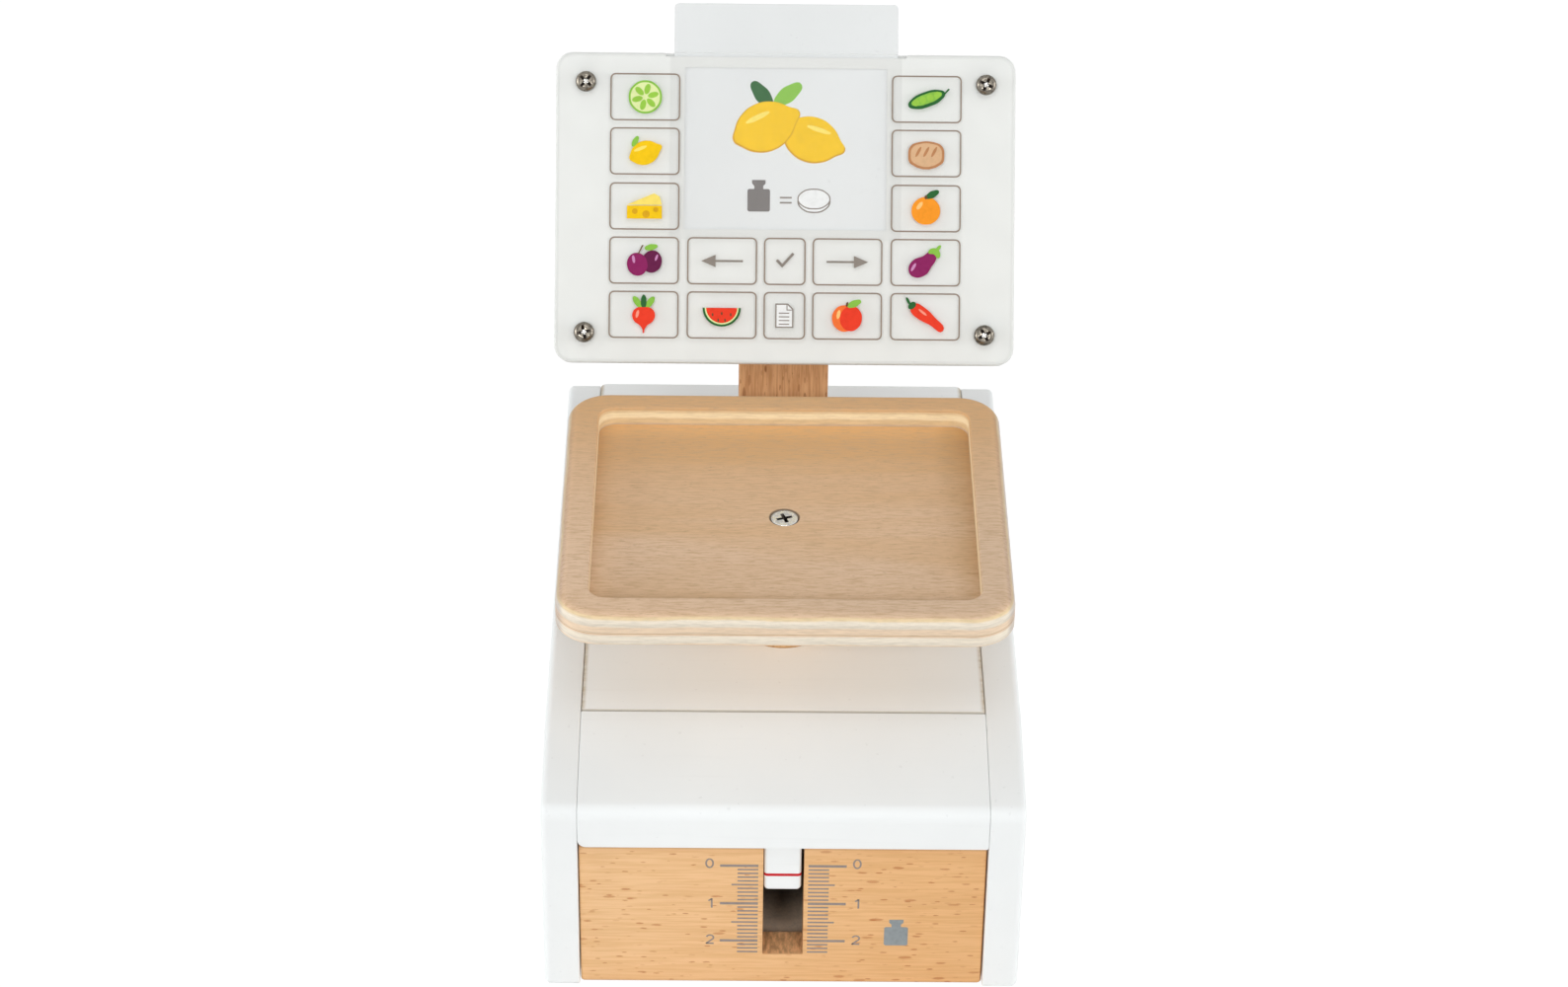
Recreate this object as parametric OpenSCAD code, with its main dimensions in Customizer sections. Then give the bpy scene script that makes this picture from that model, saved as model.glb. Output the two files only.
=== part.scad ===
// Toy shop weighing scale with a sprung tray, a sliding pointer and a leaning key display.
// Millimetres, +Z up. Origin at the middle of the case's underside, on the table.
// The front of the scale faces -Y and +X is the viewer's right.

/* [Case] */
// Width of the case over both side panels
case_w = 160; // [152:1:180]
// Depth of the side panels, front to back
case_d = 248; // [240:1:280]
// Height of the top plate's upper face above the table
case_h = 83.5; // [81:0.5:92]
// Thickness of the wooden case panels
panel_t = 12; // [10:0.5:13]
// How far the front panel stands back from the side panels' front edges
front_recess = 3; // [2:0.5:4]
// Height of the sloped cover's upright front face, up to the line where the slope would meet it
cover_front_h = 15.1; // [12:0.1:18]
// Drop of the slope from the top plate to the line where it would meet the upright front
slope_drop_h = 8.2; // [6:0.1:12]
// Depth of the sloped part, from the front to the top plate
slope_d = 44.7; // [38:0.1:52]
// Radius of the bend between the upright front and the slope
nose_r = 6; // [2:0.5:7]

/* [Tray] */
// Width of the tray
tray_w = 151.5; // [130:0.5:170]
// Thickness of the tray's frame, which is the depth of its recess
tray_frame_t = 7; // [5:0.5:9]
// Thickness of the tray's base sheet
tray_base_t = 4.5; // [4.5:0.5:7]
// Width of the tray's raised rim
tray_rim = 11; // [8:0.5:15]
// Radius of the tray's outer corners in plan
tray_corner_r = 14.5; // [12:0.5:20]
// Gap at rest between the top plate and the underside of the tray
tray_gap = 39.2; // [36:0.2:50]
// Distance from the case's front to the tray's front edge
tray_setback = 28; // [24:1:32]
// Depth of the case that is left behind the tray for the display
tray_back_space = 84; // [76:1:92]

/* [Weighing] */
// Radius of the round wooden column under the tray
column_r = 15; // [13:0.5:18]
// Distance the tray rises from rest to its upper stop
travel_up = 3.5; // [2:0.5:4]
// Turns of the compression spring
spring_turns = 14; // [10:1:18]
// Width of the upright slot in the front panel
slot_w = 13; // [11:0.5:16]
// Height of the slot's lower end above the table
slot_floor = 12; // [11:0.5:14]
// Height of the sliding pointer
pointer_h = 21; // [18:0.5:24]

/* [Display] */
// Width of the display
display_w = 163; // [150:1:180]
// Height of the display along its own face
display_h = 110; // [104:1:122]
// Lean of the display back from upright
display_lean = 34; // [30:1:38]
// Thickness of the display's backing board
board_t = 8; // [7.5:0.5:11]
// Thickness of the clear cover plate
plate_t = 2; // [1.5:0.25:3]
// Width of the exchangeable picture card
card_w = 79.4; // [60:0.2:90]
// Thickness of the card
card_t = 1; // [0.6:0.1:1.6]
// Length of card that stands out above the display
card_tab = 17.8; // [12:0.2:24]
// Length of card that is held inside the display
card_seat = 66; // [54:1:68]
// Width of the display's post
post_w = 32; // [24:1:40]
// Depth of the display's post, front to back
post_d = 28; // [24:1:32]

/* [Hidden] */
$fn = 64;
// Shared fits: seam between glued panels, glue line, running and free gaps.
seam = 0.3;
glue = 0.05;
slide_gap = 0.3;
// Case
nose_h = case_h - slope_drop_h;
front_panel_h = nose_h - cover_front_h;
inner_w = case_w - 2 * panel_t;
front_y = -case_d / 2;
back_y = case_d / 2;
panel_y = front_y + front_recess;
panel_back_y = panel_y + panel_t;
rear_y = back_y - panel_t;
slope_a = atan(slope_drop_h / slope_d);
slope_t = panel_t / cos(slope_a);
inner_nose_z = nose_h + panel_t * tan(slope_a) - slope_t;
nose_tangent = nose_r * tan((90 - slope_a) / 2);
top_under = case_h - panel_t;
base_t = 8;
cleat = 12;
cleat_end_gap = 4;
base_screw_l = 17;
base_screw_front = 60;
base_screw_back = 40;
// Tray and column
tray_d = case_d - tray_setback - tray_back_space;
tray_y = front_y + tray_setback + tray_d / 2;
tray_back_y = tray_y + tray_d / 2;
tray_z = case_h + tray_gap;
tray_top = tray_z + tray_base_t + tray_frame_t;
pocket_r = 6;
column_gap = 0.5;
hole_r = column_r + column_gap;
column_wall = 4.75;
spring_bore_r = column_r - column_wall;
wire_r = 0.9;
spring_side = 2.85;
spring_r = spring_bore_r - spring_side;
guide_side = 2.4;
guide_r = spring_r - guide_side;
spring_end_gap = 0.1;
sink_r = 5.35;
sink_h = 3.2;
tray_screw_hole_r = 2.3;
tray_screw_down = 0.3;
// Pointer
pointer_above = 0.8;
pointer_top = front_panel_h + pointer_above;
pointer_z = pointer_top - pointer_h;
slot_end_gap = 1;
// Distance the tray sinks from rest until the pointer nears the slot's lower end
travel_down = pointer_z - slot_floor - slot_end_gap;
pointer_w = slot_w - 2 * slide_gap;
pointer_recess = 0.4;
pointer_y = panel_y + pointer_recess;
pointer_behind = 4;
pointer_d = panel_t + pointer_behind;
pointer_dowel_r = 2.5;
pointer_dowel_l = 16;
arm_t = 8;
arm_w = 20;
arm_below_top = 15;
arm_z = pointer_top - arm_below_top;
arm_y = pointer_y + pointer_d;
bore_l = 50;
bore_top = arm_z + bore_l;
collar_top = top_under - travel_up - slide_gap;
collar_t = 7.5;
collar_ring = 7;
arm_ring = 8;
guide_seat = 5;
guide_clear = 3;
guide_top = bore_top - travel_down - guide_clear;
tray_screw_in = 12;
// Display
display_behind = 8.5;
display_above = 6.5;
display_y = tray_back_y + display_behind;
display_z = tray_top + display_above;
display_t = plate_t + board_t;
corner_r = 6;
screw_in = 10.6;
display_screw_in = 5;
pocket_d = card_t + 2 * slide_gap;
pocket_side = 2.8;
pocket_w = card_w + 2 * pocket_side;
// Post
mortise = 6;
cut_y = display_y + display_t * cos(display_lean);
post_step = 0.7;
post_y = cut_y + post_step;
cut_z = display_z - display_t * sin(display_lean);
post_cut_h = 34;
post_cap = cut_z + post_cut_h;
foot_screw_in = 14;
head_screw_in = 11;
cap_y = min(cut_y + (post_cap - cut_z) * tan(display_lean), post_y + post_d - 2);
cap_z = cut_z + (cap_y - cut_y) / tan(display_lean);
// Screws that hold the display's board on the post, measured up along the board from its lower edge
head_screw_up = 14;

// Points of the bend at the nose, from the upright front to the slope, in depth and height.
function nose_arc(n) = [for (i = [0 : n])
    let (a = 180 - (90 - slope_a) * i / n)
    [nose_r + nose_r * cos(a), nose_h - nose_tangent + nose_r * sin(a)]];

// Places of the dowels that join one side panel to its neighbours, as depth and height.
dowel_up = 20;
dowel_down = 12.2;
dowel_from_slope = 40;
dowel_from_back = 26;
dowel_in_slope = 14;
dowel_places = [[panel_y + panel_t / 2, dowel_up], [panel_y + panel_t / 2, front_panel_h - dowel_down],
    [rear_y + panel_t / 2, dowel_up], [rear_y + panel_t / 2, top_under - dowel_down],
    [front_y + slope_d + dowel_from_slope, case_h - panel_t / 2],
    [back_y - dowel_from_back, case_h - panel_t / 2],
    [front_y + slope_d - dowel_in_slope, case_h - dowel_in_slope * tan(slope_a) - slope_t / 2]];
dowel_r = 3;
dowel_in_side = 8;
dowel_in_panel = 12;

// Places of the base screws under the cleats.
base_screw_y = [front_y + base_screw_front, back_y - base_screw_back];
base_screw_x = inner_w / 2 - cleat / 2;

// A flat outline with rounded corners, centred on the origin.
module rounded_outline(w, d, r) {
    square([w - 2 * r, d], center = true);
    square([w, d - 2 * r], center = true);
    for (sx = [-1, 1])
        for (sy = [-1, 1])
            translate([sx * (w / 2 - r), sy * (d / 2 - r)])
                circle(r = r);
}

// Turns a flat outline drawn in depth and height into a board standing along X.
module along_x(x0, x1) {
    translate([x0, 0, 0])
        rotate([90, 0, 90])
            linear_extrude(height = x1 - x0)
                children();
}

// Holes for the dowels of both sides, a little wider than the dowels.
module dowel_holes() {
    for (p = dowel_places)
        for (s = [-1, 1])
            translate([s * (inner_w / 2 + (dowel_in_side - dowel_in_panel) / 2), p[0], p[1]])
                rotate([0, 90, 0])
                    cylinder(r = dowel_r + glue, h = dowel_in_side + dowel_in_panel + 0.4, center = true);
}

// The outline shared by the two side panels.
module side_outline() {
    polygon(concat([[front_y, 0]],
        [for (p = nose_arc(10)) [front_y + p[0], p[1]]],
        [[front_y + slope_d, case_h], [back_y, case_h], [back_y, 0]]));
}

module side_panel_left() {
    color([0.93, 0.93, 0.92])
        difference() {
            along_x(-case_w / 2, -inner_w / 2)
                side_outline();
            dowel_holes();
        }
}

module side_panel_right() {
    color([0.93, 0.93, 0.92])
        difference() {
            along_x(inner_w / 2, case_w / 2)
                side_outline();
            dowel_holes();
        }
}

// The natural wood front, with the pointer's slot open at its top edge.
module front_panel() {
    color([0.86, 0.68, 0.48])
        difference() {
            translate([-inner_w / 2 + seam, panel_y, 0])
                cube([inner_w - 2 * seam, panel_t, front_panel_h]);
            translate([-slot_w / 2, panel_y - 1, slot_floor])
                cube([slot_w, panel_t + 2, front_panel_h]);
            dowel_holes();
        }
}

// The painted cover between the front panel and the top plate, with room for the pointer's top.
module front_cover() {
    back_end = front_y + slope_d - seam / 2;
    low_z = front_panel_h;
    color([0.93, 0.93, 0.92])
        difference() {
            along_x(-inner_w / 2 + seam, inner_w / 2 - seam)
                polygon(concat([[front_y, low_z]],
                    [for (p = nose_arc(10)) [front_y + p[0], p[1]]],
                    [[back_end, case_h - seam / 2 * tan(slope_a)],
                    [back_end, case_h - slope_t],
                    [front_y + panel_t, inner_nose_z],
                    [front_y + panel_t, low_z]]));
            translate([-slot_w / 2 - 1, panel_y, low_z - 1])
                cube([slot_w + 2, panel_t + 4, pointer_top + travel_up + 0.6 - low_z + 1]);
            dowel_holes();
        }
}

// The flat top, with the column's hole and the post's shallow seat.
module top_plate() {
    start_y = front_y + slope_d + seam / 2;
    color([0.93, 0.93, 0.92])
        difference() {
            translate([-inner_w / 2 + seam, start_y, top_under])
                cube([inner_w - 2 * seam, back_y - start_y, panel_t]);
            translate([0, tray_y, top_under - 1])
                cylinder(r = hole_r, h = panel_t + 2);
            translate([-post_w / 2 - glue, post_y - glue, case_h - mortise])
                cube([post_w + 2 * glue, post_d + 2 * glue, mortise + 1]);
            for (s = [-1, 1])
                translate([s * post_w / 4, post_y + post_d / 2, top_under - 1])
                    cylinder(r = 2, h = panel_t);
            dowel_holes();
        }
}

module back_panel() {
    color([0.93, 0.93, 0.92])
        difference() {
            translate([-inner_w / 2 + seam, rear_y, 0])
                cube([inner_w - 2 * seam, panel_t, top_under]);
            dowel_holes();
        }
}

// The board under the mechanism, flush with the panels' lower edges.
module base_board() {
    color([0.9, 0.89, 0.86])
        difference() {
            translate([-inner_w / 2 + seam, panel_back_y + seam, 0])
                cube([inner_w - 2 * seam, rear_y - panel_back_y - 2 * seam, base_t]);
            translate([0, tray_y, base_t - guide_seat])
                cylinder(r = guide_r + glue, h = guide_seat + 1);
            for (s = [-1, 1])
                for (y = base_screw_y)
                    translate([s * base_screw_x, y, 0]) {
                        translate([0, 0, -1])
                            cylinder(r = 1.8, h = base_t + 2);
                        translate([0, 0, -0.01])
                            cylinder(r1 = 3.7, r2 = 1.8, h = 2.2);
                    }
        }
}

module cleat_at(x0) {
    color([0.82, 0.69, 0.52])
        difference() {
            translate([x0, panel_back_y + cleat_end_gap, base_t])
                cube([cleat, rear_y - panel_back_y - 2 * cleat_end_gap, cleat]);
            for (s = [-1, 1])
                for (y = base_screw_y)
                    translate([s * base_screw_x, y, base_t - 1])
                        cylinder(r = 1.8, h = base_screw_l - base_t + 2);
        }
}

module base_cleat_left() {
    cleat_at(-inner_w / 2);
}

module base_cleat_right() {
    cleat_at(inner_w / 2 - cleat);
}

// A cross recess cut into a screw head whose top is at height zero.
module cross_recess(reach, deep) {
    for (a = [0, 90])
        rotate([0, 0, a])
            translate([-reach, -0.5, -deep])
                cube([2 * reach, 1, deep + 3]);
}

// A countersunk wood screw, head uppermost with its flat top at height zero.
module flat_screw(head_r, head_h, shank_r, length) {
    difference() {
        union() {
            translate([0, 0, -head_h])
                cylinder(r1 = shank_r, r2 = head_r, h = head_h);
            translate([0, 0, -length])
                cylinder(r = shank_r, h = length - head_h + 0.2);
        }
        cross_recess(head_r * 0.55, head_h * 0.55);
    }
}

// A round-headed wood screw, seated at height zero with its shank going down.
module dome_screw(head_r, head_h, shank_r, length) {
    ball = (head_r * head_r + head_h * head_h * 0.36) / (1.2 * head_h);
    difference() {
        union() {
            intersection() {
                cylinder(r = head_r, h = head_h);
                translate([0, 0, head_h - ball])
                    sphere(r = ball);
            }
            translate([0, 0, -length])
                cylinder(r = shank_r, h = length + 0.2);
        }
        translate([0, 0, head_h])
            cross_recess(head_r * 0.5, head_h * 0.55);
    }
}

module base_screws() {
    color([0.7, 0.7, 0.72])
        for (s = [-1, 1])
            for (y = base_screw_y)
                translate([s * base_screw_x, y, 0.2])
                    rotate([180, 0, 0])
                        flat_screw(3.45, 1.9, 1.75, base_screw_l);
}

module case_dowels() {
    color([0.85, 0.7, 0.5])
        for (p = dowel_places)
            for (s = [-1, 1])
                translate([s * (inner_w / 2 + (dowel_in_side - dowel_in_panel) / 2), p[0], p[1]])
                    rotate([0, 90, 0])
                        cylinder(r = dowel_r, h = dowel_in_side + dowel_in_panel, center = true);
}

// The upright rod that keeps the spring straight.
module spring_guide() {
    color([0.85, 0.7, 0.5])
        translate([0, tray_y, base_t - guide_seat])
            cylinder(r = guide_r, h = guide_top - base_t + guide_seat);
}

// The compression spring, one unbroken wire between the base board and the top of the column's bore.
spring_steps = 12;
spring_low = base_t + wire_r + 0.02;
spring_high = bore_top - wire_r - spring_end_gap;
spring_axis = [for (i = [0 : spring_turns * spring_steps])
    let (a = 360 * i / spring_steps)
    [spring_r * cos(a), spring_r * sin(a),
    spring_low + (spring_high - spring_low) * i / (spring_turns * spring_steps)]];
spring_self_gap = min([for (i = [0 : len(spring_axis) - spring_steps - 1])
    norm(spring_axis[i + spring_steps] - spring_axis[i])]) - 2 * wire_r;
echo(spring_self_gap = spring_self_gap);
spring_points = [for (i = [0 : len(spring_axis) - 1])
    for (j = [0 : 5])
        let (a = 360 * i / spring_steps, b = 60 * j)
        spring_axis[i] + wire_r * [cos(a) * cos(b), sin(a) * cos(b), sin(b)]];
spring_sides = [for (i = [0 : len(spring_axis) - 2])
    for (j = [0 : 5])
        for (h = [0, 1])
            let (p = 6 * i + j, q = 6 * i + (j + 1) % 6)
            h == 0 ? [p, p + 6, q] : [q, p + 6, q + 6]];
spring_first = [for (j = [1 : 4]) [0, j, j + 1]];
spring_last_at = 6 * (len(spring_axis) - 1);
spring_last = [for (j = [1 : 4]) [spring_last_at, spring_last_at + j + 1, spring_last_at + j]];

module weighing_spring() {
    color([0.75, 0.75, 0.78])
        translate([0, tray_y, 0])
            polyhedron(points = spring_points, faces = concat(spring_sides, spring_first, spring_last));
}

// The round column that carries the tray, bored from below for the spring.
module weighing_column() {
    color([0.84, 0.66, 0.46])
        translate([0, tray_y, 0])
            difference() {
                translate([0, 0, arm_z])
                    cylinder(r = column_r, h = tray_z - arm_z);
                translate([0, 0, arm_z - 1])
                    cylinder(r = spring_bore_r, h = bore_top - arm_z + 1);
                translate([0, 0, tray_z - tray_screw_in - 2])
                    cylinder(r = 2.05, h = tray_screw_in + 3);
            }
}

// The ring glued round the column that meets the top plate at the upper end of the travel.
module stop_collar() {
    color([0.87, 0.76, 0.6])
        translate([0, tray_y, collar_top - collar_t])
            difference() {
                cylinder(r = column_r + collar_ring, h = collar_t);
                translate([0, 0, -1])
                    cylinder(r = column_r + glue, h = collar_t + 2);
            }
}

// The flat arm that carries the pointer forward from the foot of the column.
module pointer_arm() {
    color([0.87, 0.76, 0.6])
        translate([0, 0, arm_z])
            difference() {
                union() {
                    translate([0, tray_y, 0])
                        cylinder(r = column_r + arm_ring, h = arm_t);
                    translate([-arm_w / 2, arm_y, 0])
                        cube([arm_w, tray_y - arm_y, arm_t]);
                }
                translate([0, tray_y, -1])
                    cylinder(r = column_r + glue, h = arm_t + 2);
                translate([0, arm_y - 1, arm_t / 2])
                    rotate([-90, 0, 0])
                        cylinder(r = pointer_dowel_r + glue, h = pointer_dowel_l / 2 + 1.2);
            }
}

// The white sliding pointer that shows in the slot.
module pointer() {
    round_r = 1.8;
    color([0.95, 0.95, 0.94])
        difference() {
            translate([0, pointer_y, pointer_z])
                linear_extrude(height = pointer_top - pointer_z)
                    union() {
                        translate([-pointer_w / 2, round_r])
                            square([pointer_w, pointer_d - round_r]);
                        translate([-pointer_w / 2 + round_r, 0])
                            square([pointer_w - 2 * round_r, pointer_d]);
                        for (s = [-1, 1])
                            translate([s * (pointer_w / 2 - round_r), round_r])
                                circle(r = round_r);
                    }
            translate([0, arm_y - pointer_dowel_l / 2 - 0.2, arm_z + arm_t / 2])
                rotate([-90, 0, 0])
                    cylinder(r = pointer_dowel_r + glue, h = pointer_dowel_l);
        }
}

module pointer_dowel() {
    color([0.85, 0.7, 0.5])
        translate([0, arm_y - pointer_dowel_l / 2, arm_z + arm_t / 2])
            rotate([-90, 0, 0])
                cylinder(r = pointer_dowel_r, h = pointer_dowel_l);
}

// The lower sheet of the tray, countersunk for its centre screw.
module tray_base() {
    color([0.8, 0.66, 0.5])
        translate([0, tray_y, tray_z])
            difference() {
                linear_extrude(height = tray_base_t)
                    rounded_outline(tray_w, tray_d, tray_corner_r);
                translate([0, 0, -1])
                    cylinder(r = tray_screw_hole_r, h = tray_base_t + 2);
                translate([0, 0, tray_base_t - sink_h])
                    cylinder(r1 = tray_screw_hole_r, r2 = sink_r, h = sink_h + 0.01);
            }
}

// The upper sheet of the tray, cut out to leave the rim.
module tray_frame() {
    color([0.8, 0.69, 0.57])
        translate([0, tray_y, tray_z + tray_base_t])
            linear_extrude(height = tray_frame_t)
                difference() {
                    rounded_outline(tray_w, tray_d, tray_corner_r);
                    rounded_outline(tray_w - 2 * tray_rim, tray_d - 2 * tray_rim, pocket_r);
                }
}

module tray_screw() {
    color([0.72, 0.72, 0.72])
        translate([0, tray_y, tray_z + tray_base_t - tray_screw_down])
            flat_screw(4.65, 2.6, 2, tray_base_t + tray_screw_in);
}

// The upright post, cut to the display's lean at its top.
module display_post() {
    color([0.78, 0.58, 0.41])
        difference() {
            along_x(-post_w / 2, post_w / 2)
                polygon([[post_y, case_h - mortise],
                    [post_y, cut_z + (post_y - cut_y) / tan(display_lean)],
                    [cap_y, cap_z],
                    [post_y + post_d, cap_z],
                    [post_y + post_d, case_h - mortise]]);
            for (s = [-1, 1])
                translate([s * post_w / 4, post_y + post_d / 2, case_h - mortise - 1])
                    cylinder(r = 1.95, h = foot_screw_in + 1.2);
            at_display()
                head_screw_places()
                    translate([0, display_t - 1, 0])
                        rotate([-90, 0, 0])
                            cylinder(r = 1.95, h = head_screw_in + 1.2);
        }
}

module post_foot_screws() {
    color([0.7, 0.7, 0.72])
        for (s = [-1, 1])
            translate([s * post_w / 4, post_y + post_d / 2, top_under])
                rotate([180, 0, 0])
                    dome_screw(3.6, 2.2, 1.9, panel_t - mortise + foot_screw_in);
}

// The display's own frame: X to the right, Y into the display, Z up along its face.
module at_display() {
    translate([0, display_y, display_z])
        rotate([-display_lean, 0, 0])
            children();
}

// Lays a flat outline, drawn in the display's width and height, into the display from y0 to y1.
module display_sheet(y0, y1) {
    translate([0, y1, display_h / 2])
        rotate([90, 0, 0])
            linear_extrude(height = y1 - y0)
                children();
}

// Places of the two screws between the display's board and its post.
module head_screw_places() {
    for (s = [-1, 1])
        translate([s * post_w / 4, 0, head_screw_up])
            children();
}

module display_screw_places() {
    for (sx = [-1, 1])
        for (z = [screw_in, display_h - screw_in])
            translate([sx * (display_w / 2 - screw_in), 0, z])
                children();
}

// The white backing board with the card's shallow pocket.
module display_board() {
    color([0.93, 0.94, 0.93])
        at_display()
            difference() {
                display_sheet(plate_t, display_t)
                    rounded_outline(display_w, display_h, corner_r);
                translate([-pocket_w / 2, plate_t - 1, display_h - card_seat])
                    cube([pocket_w, pocket_d + 1, card_seat + 1]);
                display_screw_places()
                    translate([0, plate_t - 1, 0])
                        rotate([-90, 0, 0])
                            cylinder(r = 1.45, h = display_screw_in + 1.5);
                head_screw_places()
                    translate([0, plate_t - 0.01, 0])
                        rotate([-90, 0, 0]) {
                            cylinder(r = 2.1, h = board_t + 1);
                            cylinder(r1 = 4.3, r2 = 2.1, h = 2.4);
                        }
            }
}

module post_head_screws() {
    color([0.7, 0.7, 0.72])
        at_display()
            head_screw_places()
                translate([0, plate_t + 0.2, 0])
                    rotate([90, 0, 0])
                        flat_screw(4, 2.1, 1.9, board_t + head_screw_in - 0.5);
}

// The clear plate over the card and the printed keys.
module display_plate() {
    color([0.9, 0.93, 0.93, 0.5])
        at_display()
            difference() {
                display_sheet(0, plate_t)
                    rounded_outline(display_w, display_h, corner_r);
                display_screw_places()
                    translate([0, -1, 0])
                        rotate([-90, 0, 0])
                            cylinder(r = 1.6, h = plate_t + 2);
            }
}

module display_screws() {
    color([0.45, 0.44, 0.42])
        at_display()
            display_screw_places()
                rotate([90, 0, 0])
                    dome_screw(3.65, 2.3, 1.4, plate_t + display_screw_in);
}

// The exchangeable picture card, resting on the lower end of its pocket.
module display_card() {
    top_r = 1.5;
    length = card_seat + card_tab - 0.05;
    color([0.91, 0.92, 0.92])
        at_display()
            translate([-card_w / 2, plate_t + slide_gap + card_t, display_h - card_seat + 0.05])
                rotate([90, 0, 0])
                    linear_extrude(height = card_t)
                        union() {
                            square([card_w, length - top_r]);
                            translate([top_r, 0])
                                square([card_w - 2 * top_r, length]);
                            for (x = [top_r, card_w - top_r])
                                translate([x, length - top_r])
                                    circle(r = top_r);
                        }
}

side_panel_left();
side_panel_right();
front_panel();
front_cover();
top_plate();
back_panel();
base_board();
base_cleat_left();
base_cleat_right();
base_screws();
case_dowels();
spring_guide();
weighing_spring();
weighing_column();
stop_collar();
pointer_arm();
pointer();
pointer_dowel();
tray_base();
tray_frame();
tray_screw();
display_post();
post_foot_screws();
display_board();
post_head_screws();
display_plate();
display_screws();
display_card();
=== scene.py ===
import math
from contextlib import contextmanager

import bmesh
import bpy
from bpy.props import FloatProperty, FloatVectorProperty, IntProperty, PointerProperty
from bpy.types import Operator, Panel, PropertyGroup
from mathutils import Matrix, Vector


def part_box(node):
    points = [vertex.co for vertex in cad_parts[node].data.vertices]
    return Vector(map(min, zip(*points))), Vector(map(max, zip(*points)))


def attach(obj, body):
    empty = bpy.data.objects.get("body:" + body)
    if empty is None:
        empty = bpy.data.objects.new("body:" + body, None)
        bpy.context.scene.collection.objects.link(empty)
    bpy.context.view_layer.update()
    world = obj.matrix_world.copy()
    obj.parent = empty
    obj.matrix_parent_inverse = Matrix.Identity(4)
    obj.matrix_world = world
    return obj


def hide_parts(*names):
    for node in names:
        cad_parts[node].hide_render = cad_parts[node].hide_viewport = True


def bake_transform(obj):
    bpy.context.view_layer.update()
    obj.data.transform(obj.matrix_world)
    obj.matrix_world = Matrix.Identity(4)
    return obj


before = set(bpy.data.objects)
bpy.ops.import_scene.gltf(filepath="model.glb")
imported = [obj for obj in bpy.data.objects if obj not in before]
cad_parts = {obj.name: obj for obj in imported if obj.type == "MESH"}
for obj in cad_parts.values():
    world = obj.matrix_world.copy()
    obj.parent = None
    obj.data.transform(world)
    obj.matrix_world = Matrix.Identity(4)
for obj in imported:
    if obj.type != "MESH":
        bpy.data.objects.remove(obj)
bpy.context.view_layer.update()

bl_info = {
    "name": "Toy shop scale",
    "version": (1, 0, 0),
    "blender": (4, 5, 0),
    "location": "3D View > Sidebar > Toy scale",
    "description": "Dresses the packed toy shop scale with rounded wood, print and a clear display plate",
    "category": "Object",
}

MM = 0.001
PAST = 1 * MM  # how far a cutter goes past what it cuts
NEAR = 0.02 * MM  # how close a point is to a level that it lies on
NODE = {name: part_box(name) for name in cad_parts}


def srgb(*display):
    """A colour given in 0 to 255 display values, as the linear values that shaders read."""
    shares = [value / 255 for value in display]
    return tuple(c / 12.92 if c <= 0.04 else ((c + 0.055) / 1.055) ** 2.4 for c in shares)


def length(title, words, millimetres):
    return FloatProperty(
        name=title, description=words, default=millimetres * MM, min=0.0, precision=5,
        unit="LENGTH", subtype="DISTANCE",
    )


def tint(title, words, *display):
    return FloatVectorProperty(
        name=title, description=words, default=srgb(*display), size=3, min=0.0, max=1.0, subtype="COLOR"
    )


class CaseSizes(PropertyGroup):
    """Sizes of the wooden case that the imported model's boxes don't give."""

    slope_depth: length("Slope depth", "Depth of the sloped front corner", 44.7)
    slope_drop: length("Slope drop", "Drop of the slope from the top to the nose", 8.2)
    nose_reach: length("Nose reach", "How far the bend at the nose reaches along each face", 4.2)
    board: length("Board", "Thickness of the case boards", 12.0)
    outer_round: length("Outer rounding", "Rounding of the side panels' outer edges", 2.6)
    inner_round: length("Inner rounding", "Rounding of the side panels' inner edges", 0.5)
    end_round: length("End rounding", "Rounding of the side panels' ends", 2.4)
    board_round: length("Board rounding", "Rounding of the boards between the side panels", 0.35)
    corner_round: length("Corner rounding", "Rounding of those boards' corners", 2.2)
    cover_left: length("Cover, left", "Rounding of the cover's lower left corner", 2.8)
    cover_right: length("Cover, right", "Rounding of the cover's lower right corner", 0.8)
    fill: length("Fill", "Paint that fills part of the gap beside the cover", 0.25)
    seam: length("Seam", "Open seam between the cover and the top plate", 0.48)
    slot_width: length("Slot width", "Width of the pointer's slot", 12.8)
    slot_room: length("Slot room", "More room at the slot's right side", 0.7)
    slot_floor: length("Slot floor", "Height of the slot's lower end", 12.0)


class TraySizes(PropertyGroup):
    """Sizes of the plywood tray, its screw, its column and its spring."""

    corner: length("Corner", "Radius of the tray's outer corners", 14.5)
    rim: length("Rim", "Width of the raised rim", 11.0)
    pocket_corner: length("Pocket corner", "Radius of the recess's corners", 6.0)
    top_round: length("Top rounding", "Rounding of the rim's outer upper edge", 4.0)
    lip_round: length("Lip rounding", "Rounding of the rim's inner upper edge", 0.9)
    under_round: length("Under rounding", "Rounding of the lower edge", 0.4)
    sink_radius: length("Countersink", "Radius of the countersink round the screw", 5.35)
    screw_hole: length("Screw hole", "Radius of the screw's hole", 2.3)
    head_radius: length("Screw head", "Radius of the screw's head", 4.65)
    bore: length("Bore", "Radius of the column's bore", 10.25)
    bore_depth: length("Bore depth", "Depth of the column's bore", 50.0)
    wire: length("Spring wire", "Radius of the spring's wire", 0.9)
    turns: IntProperty(name="Spring turns", description="Turns of the spring", default=14, min=1)


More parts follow.
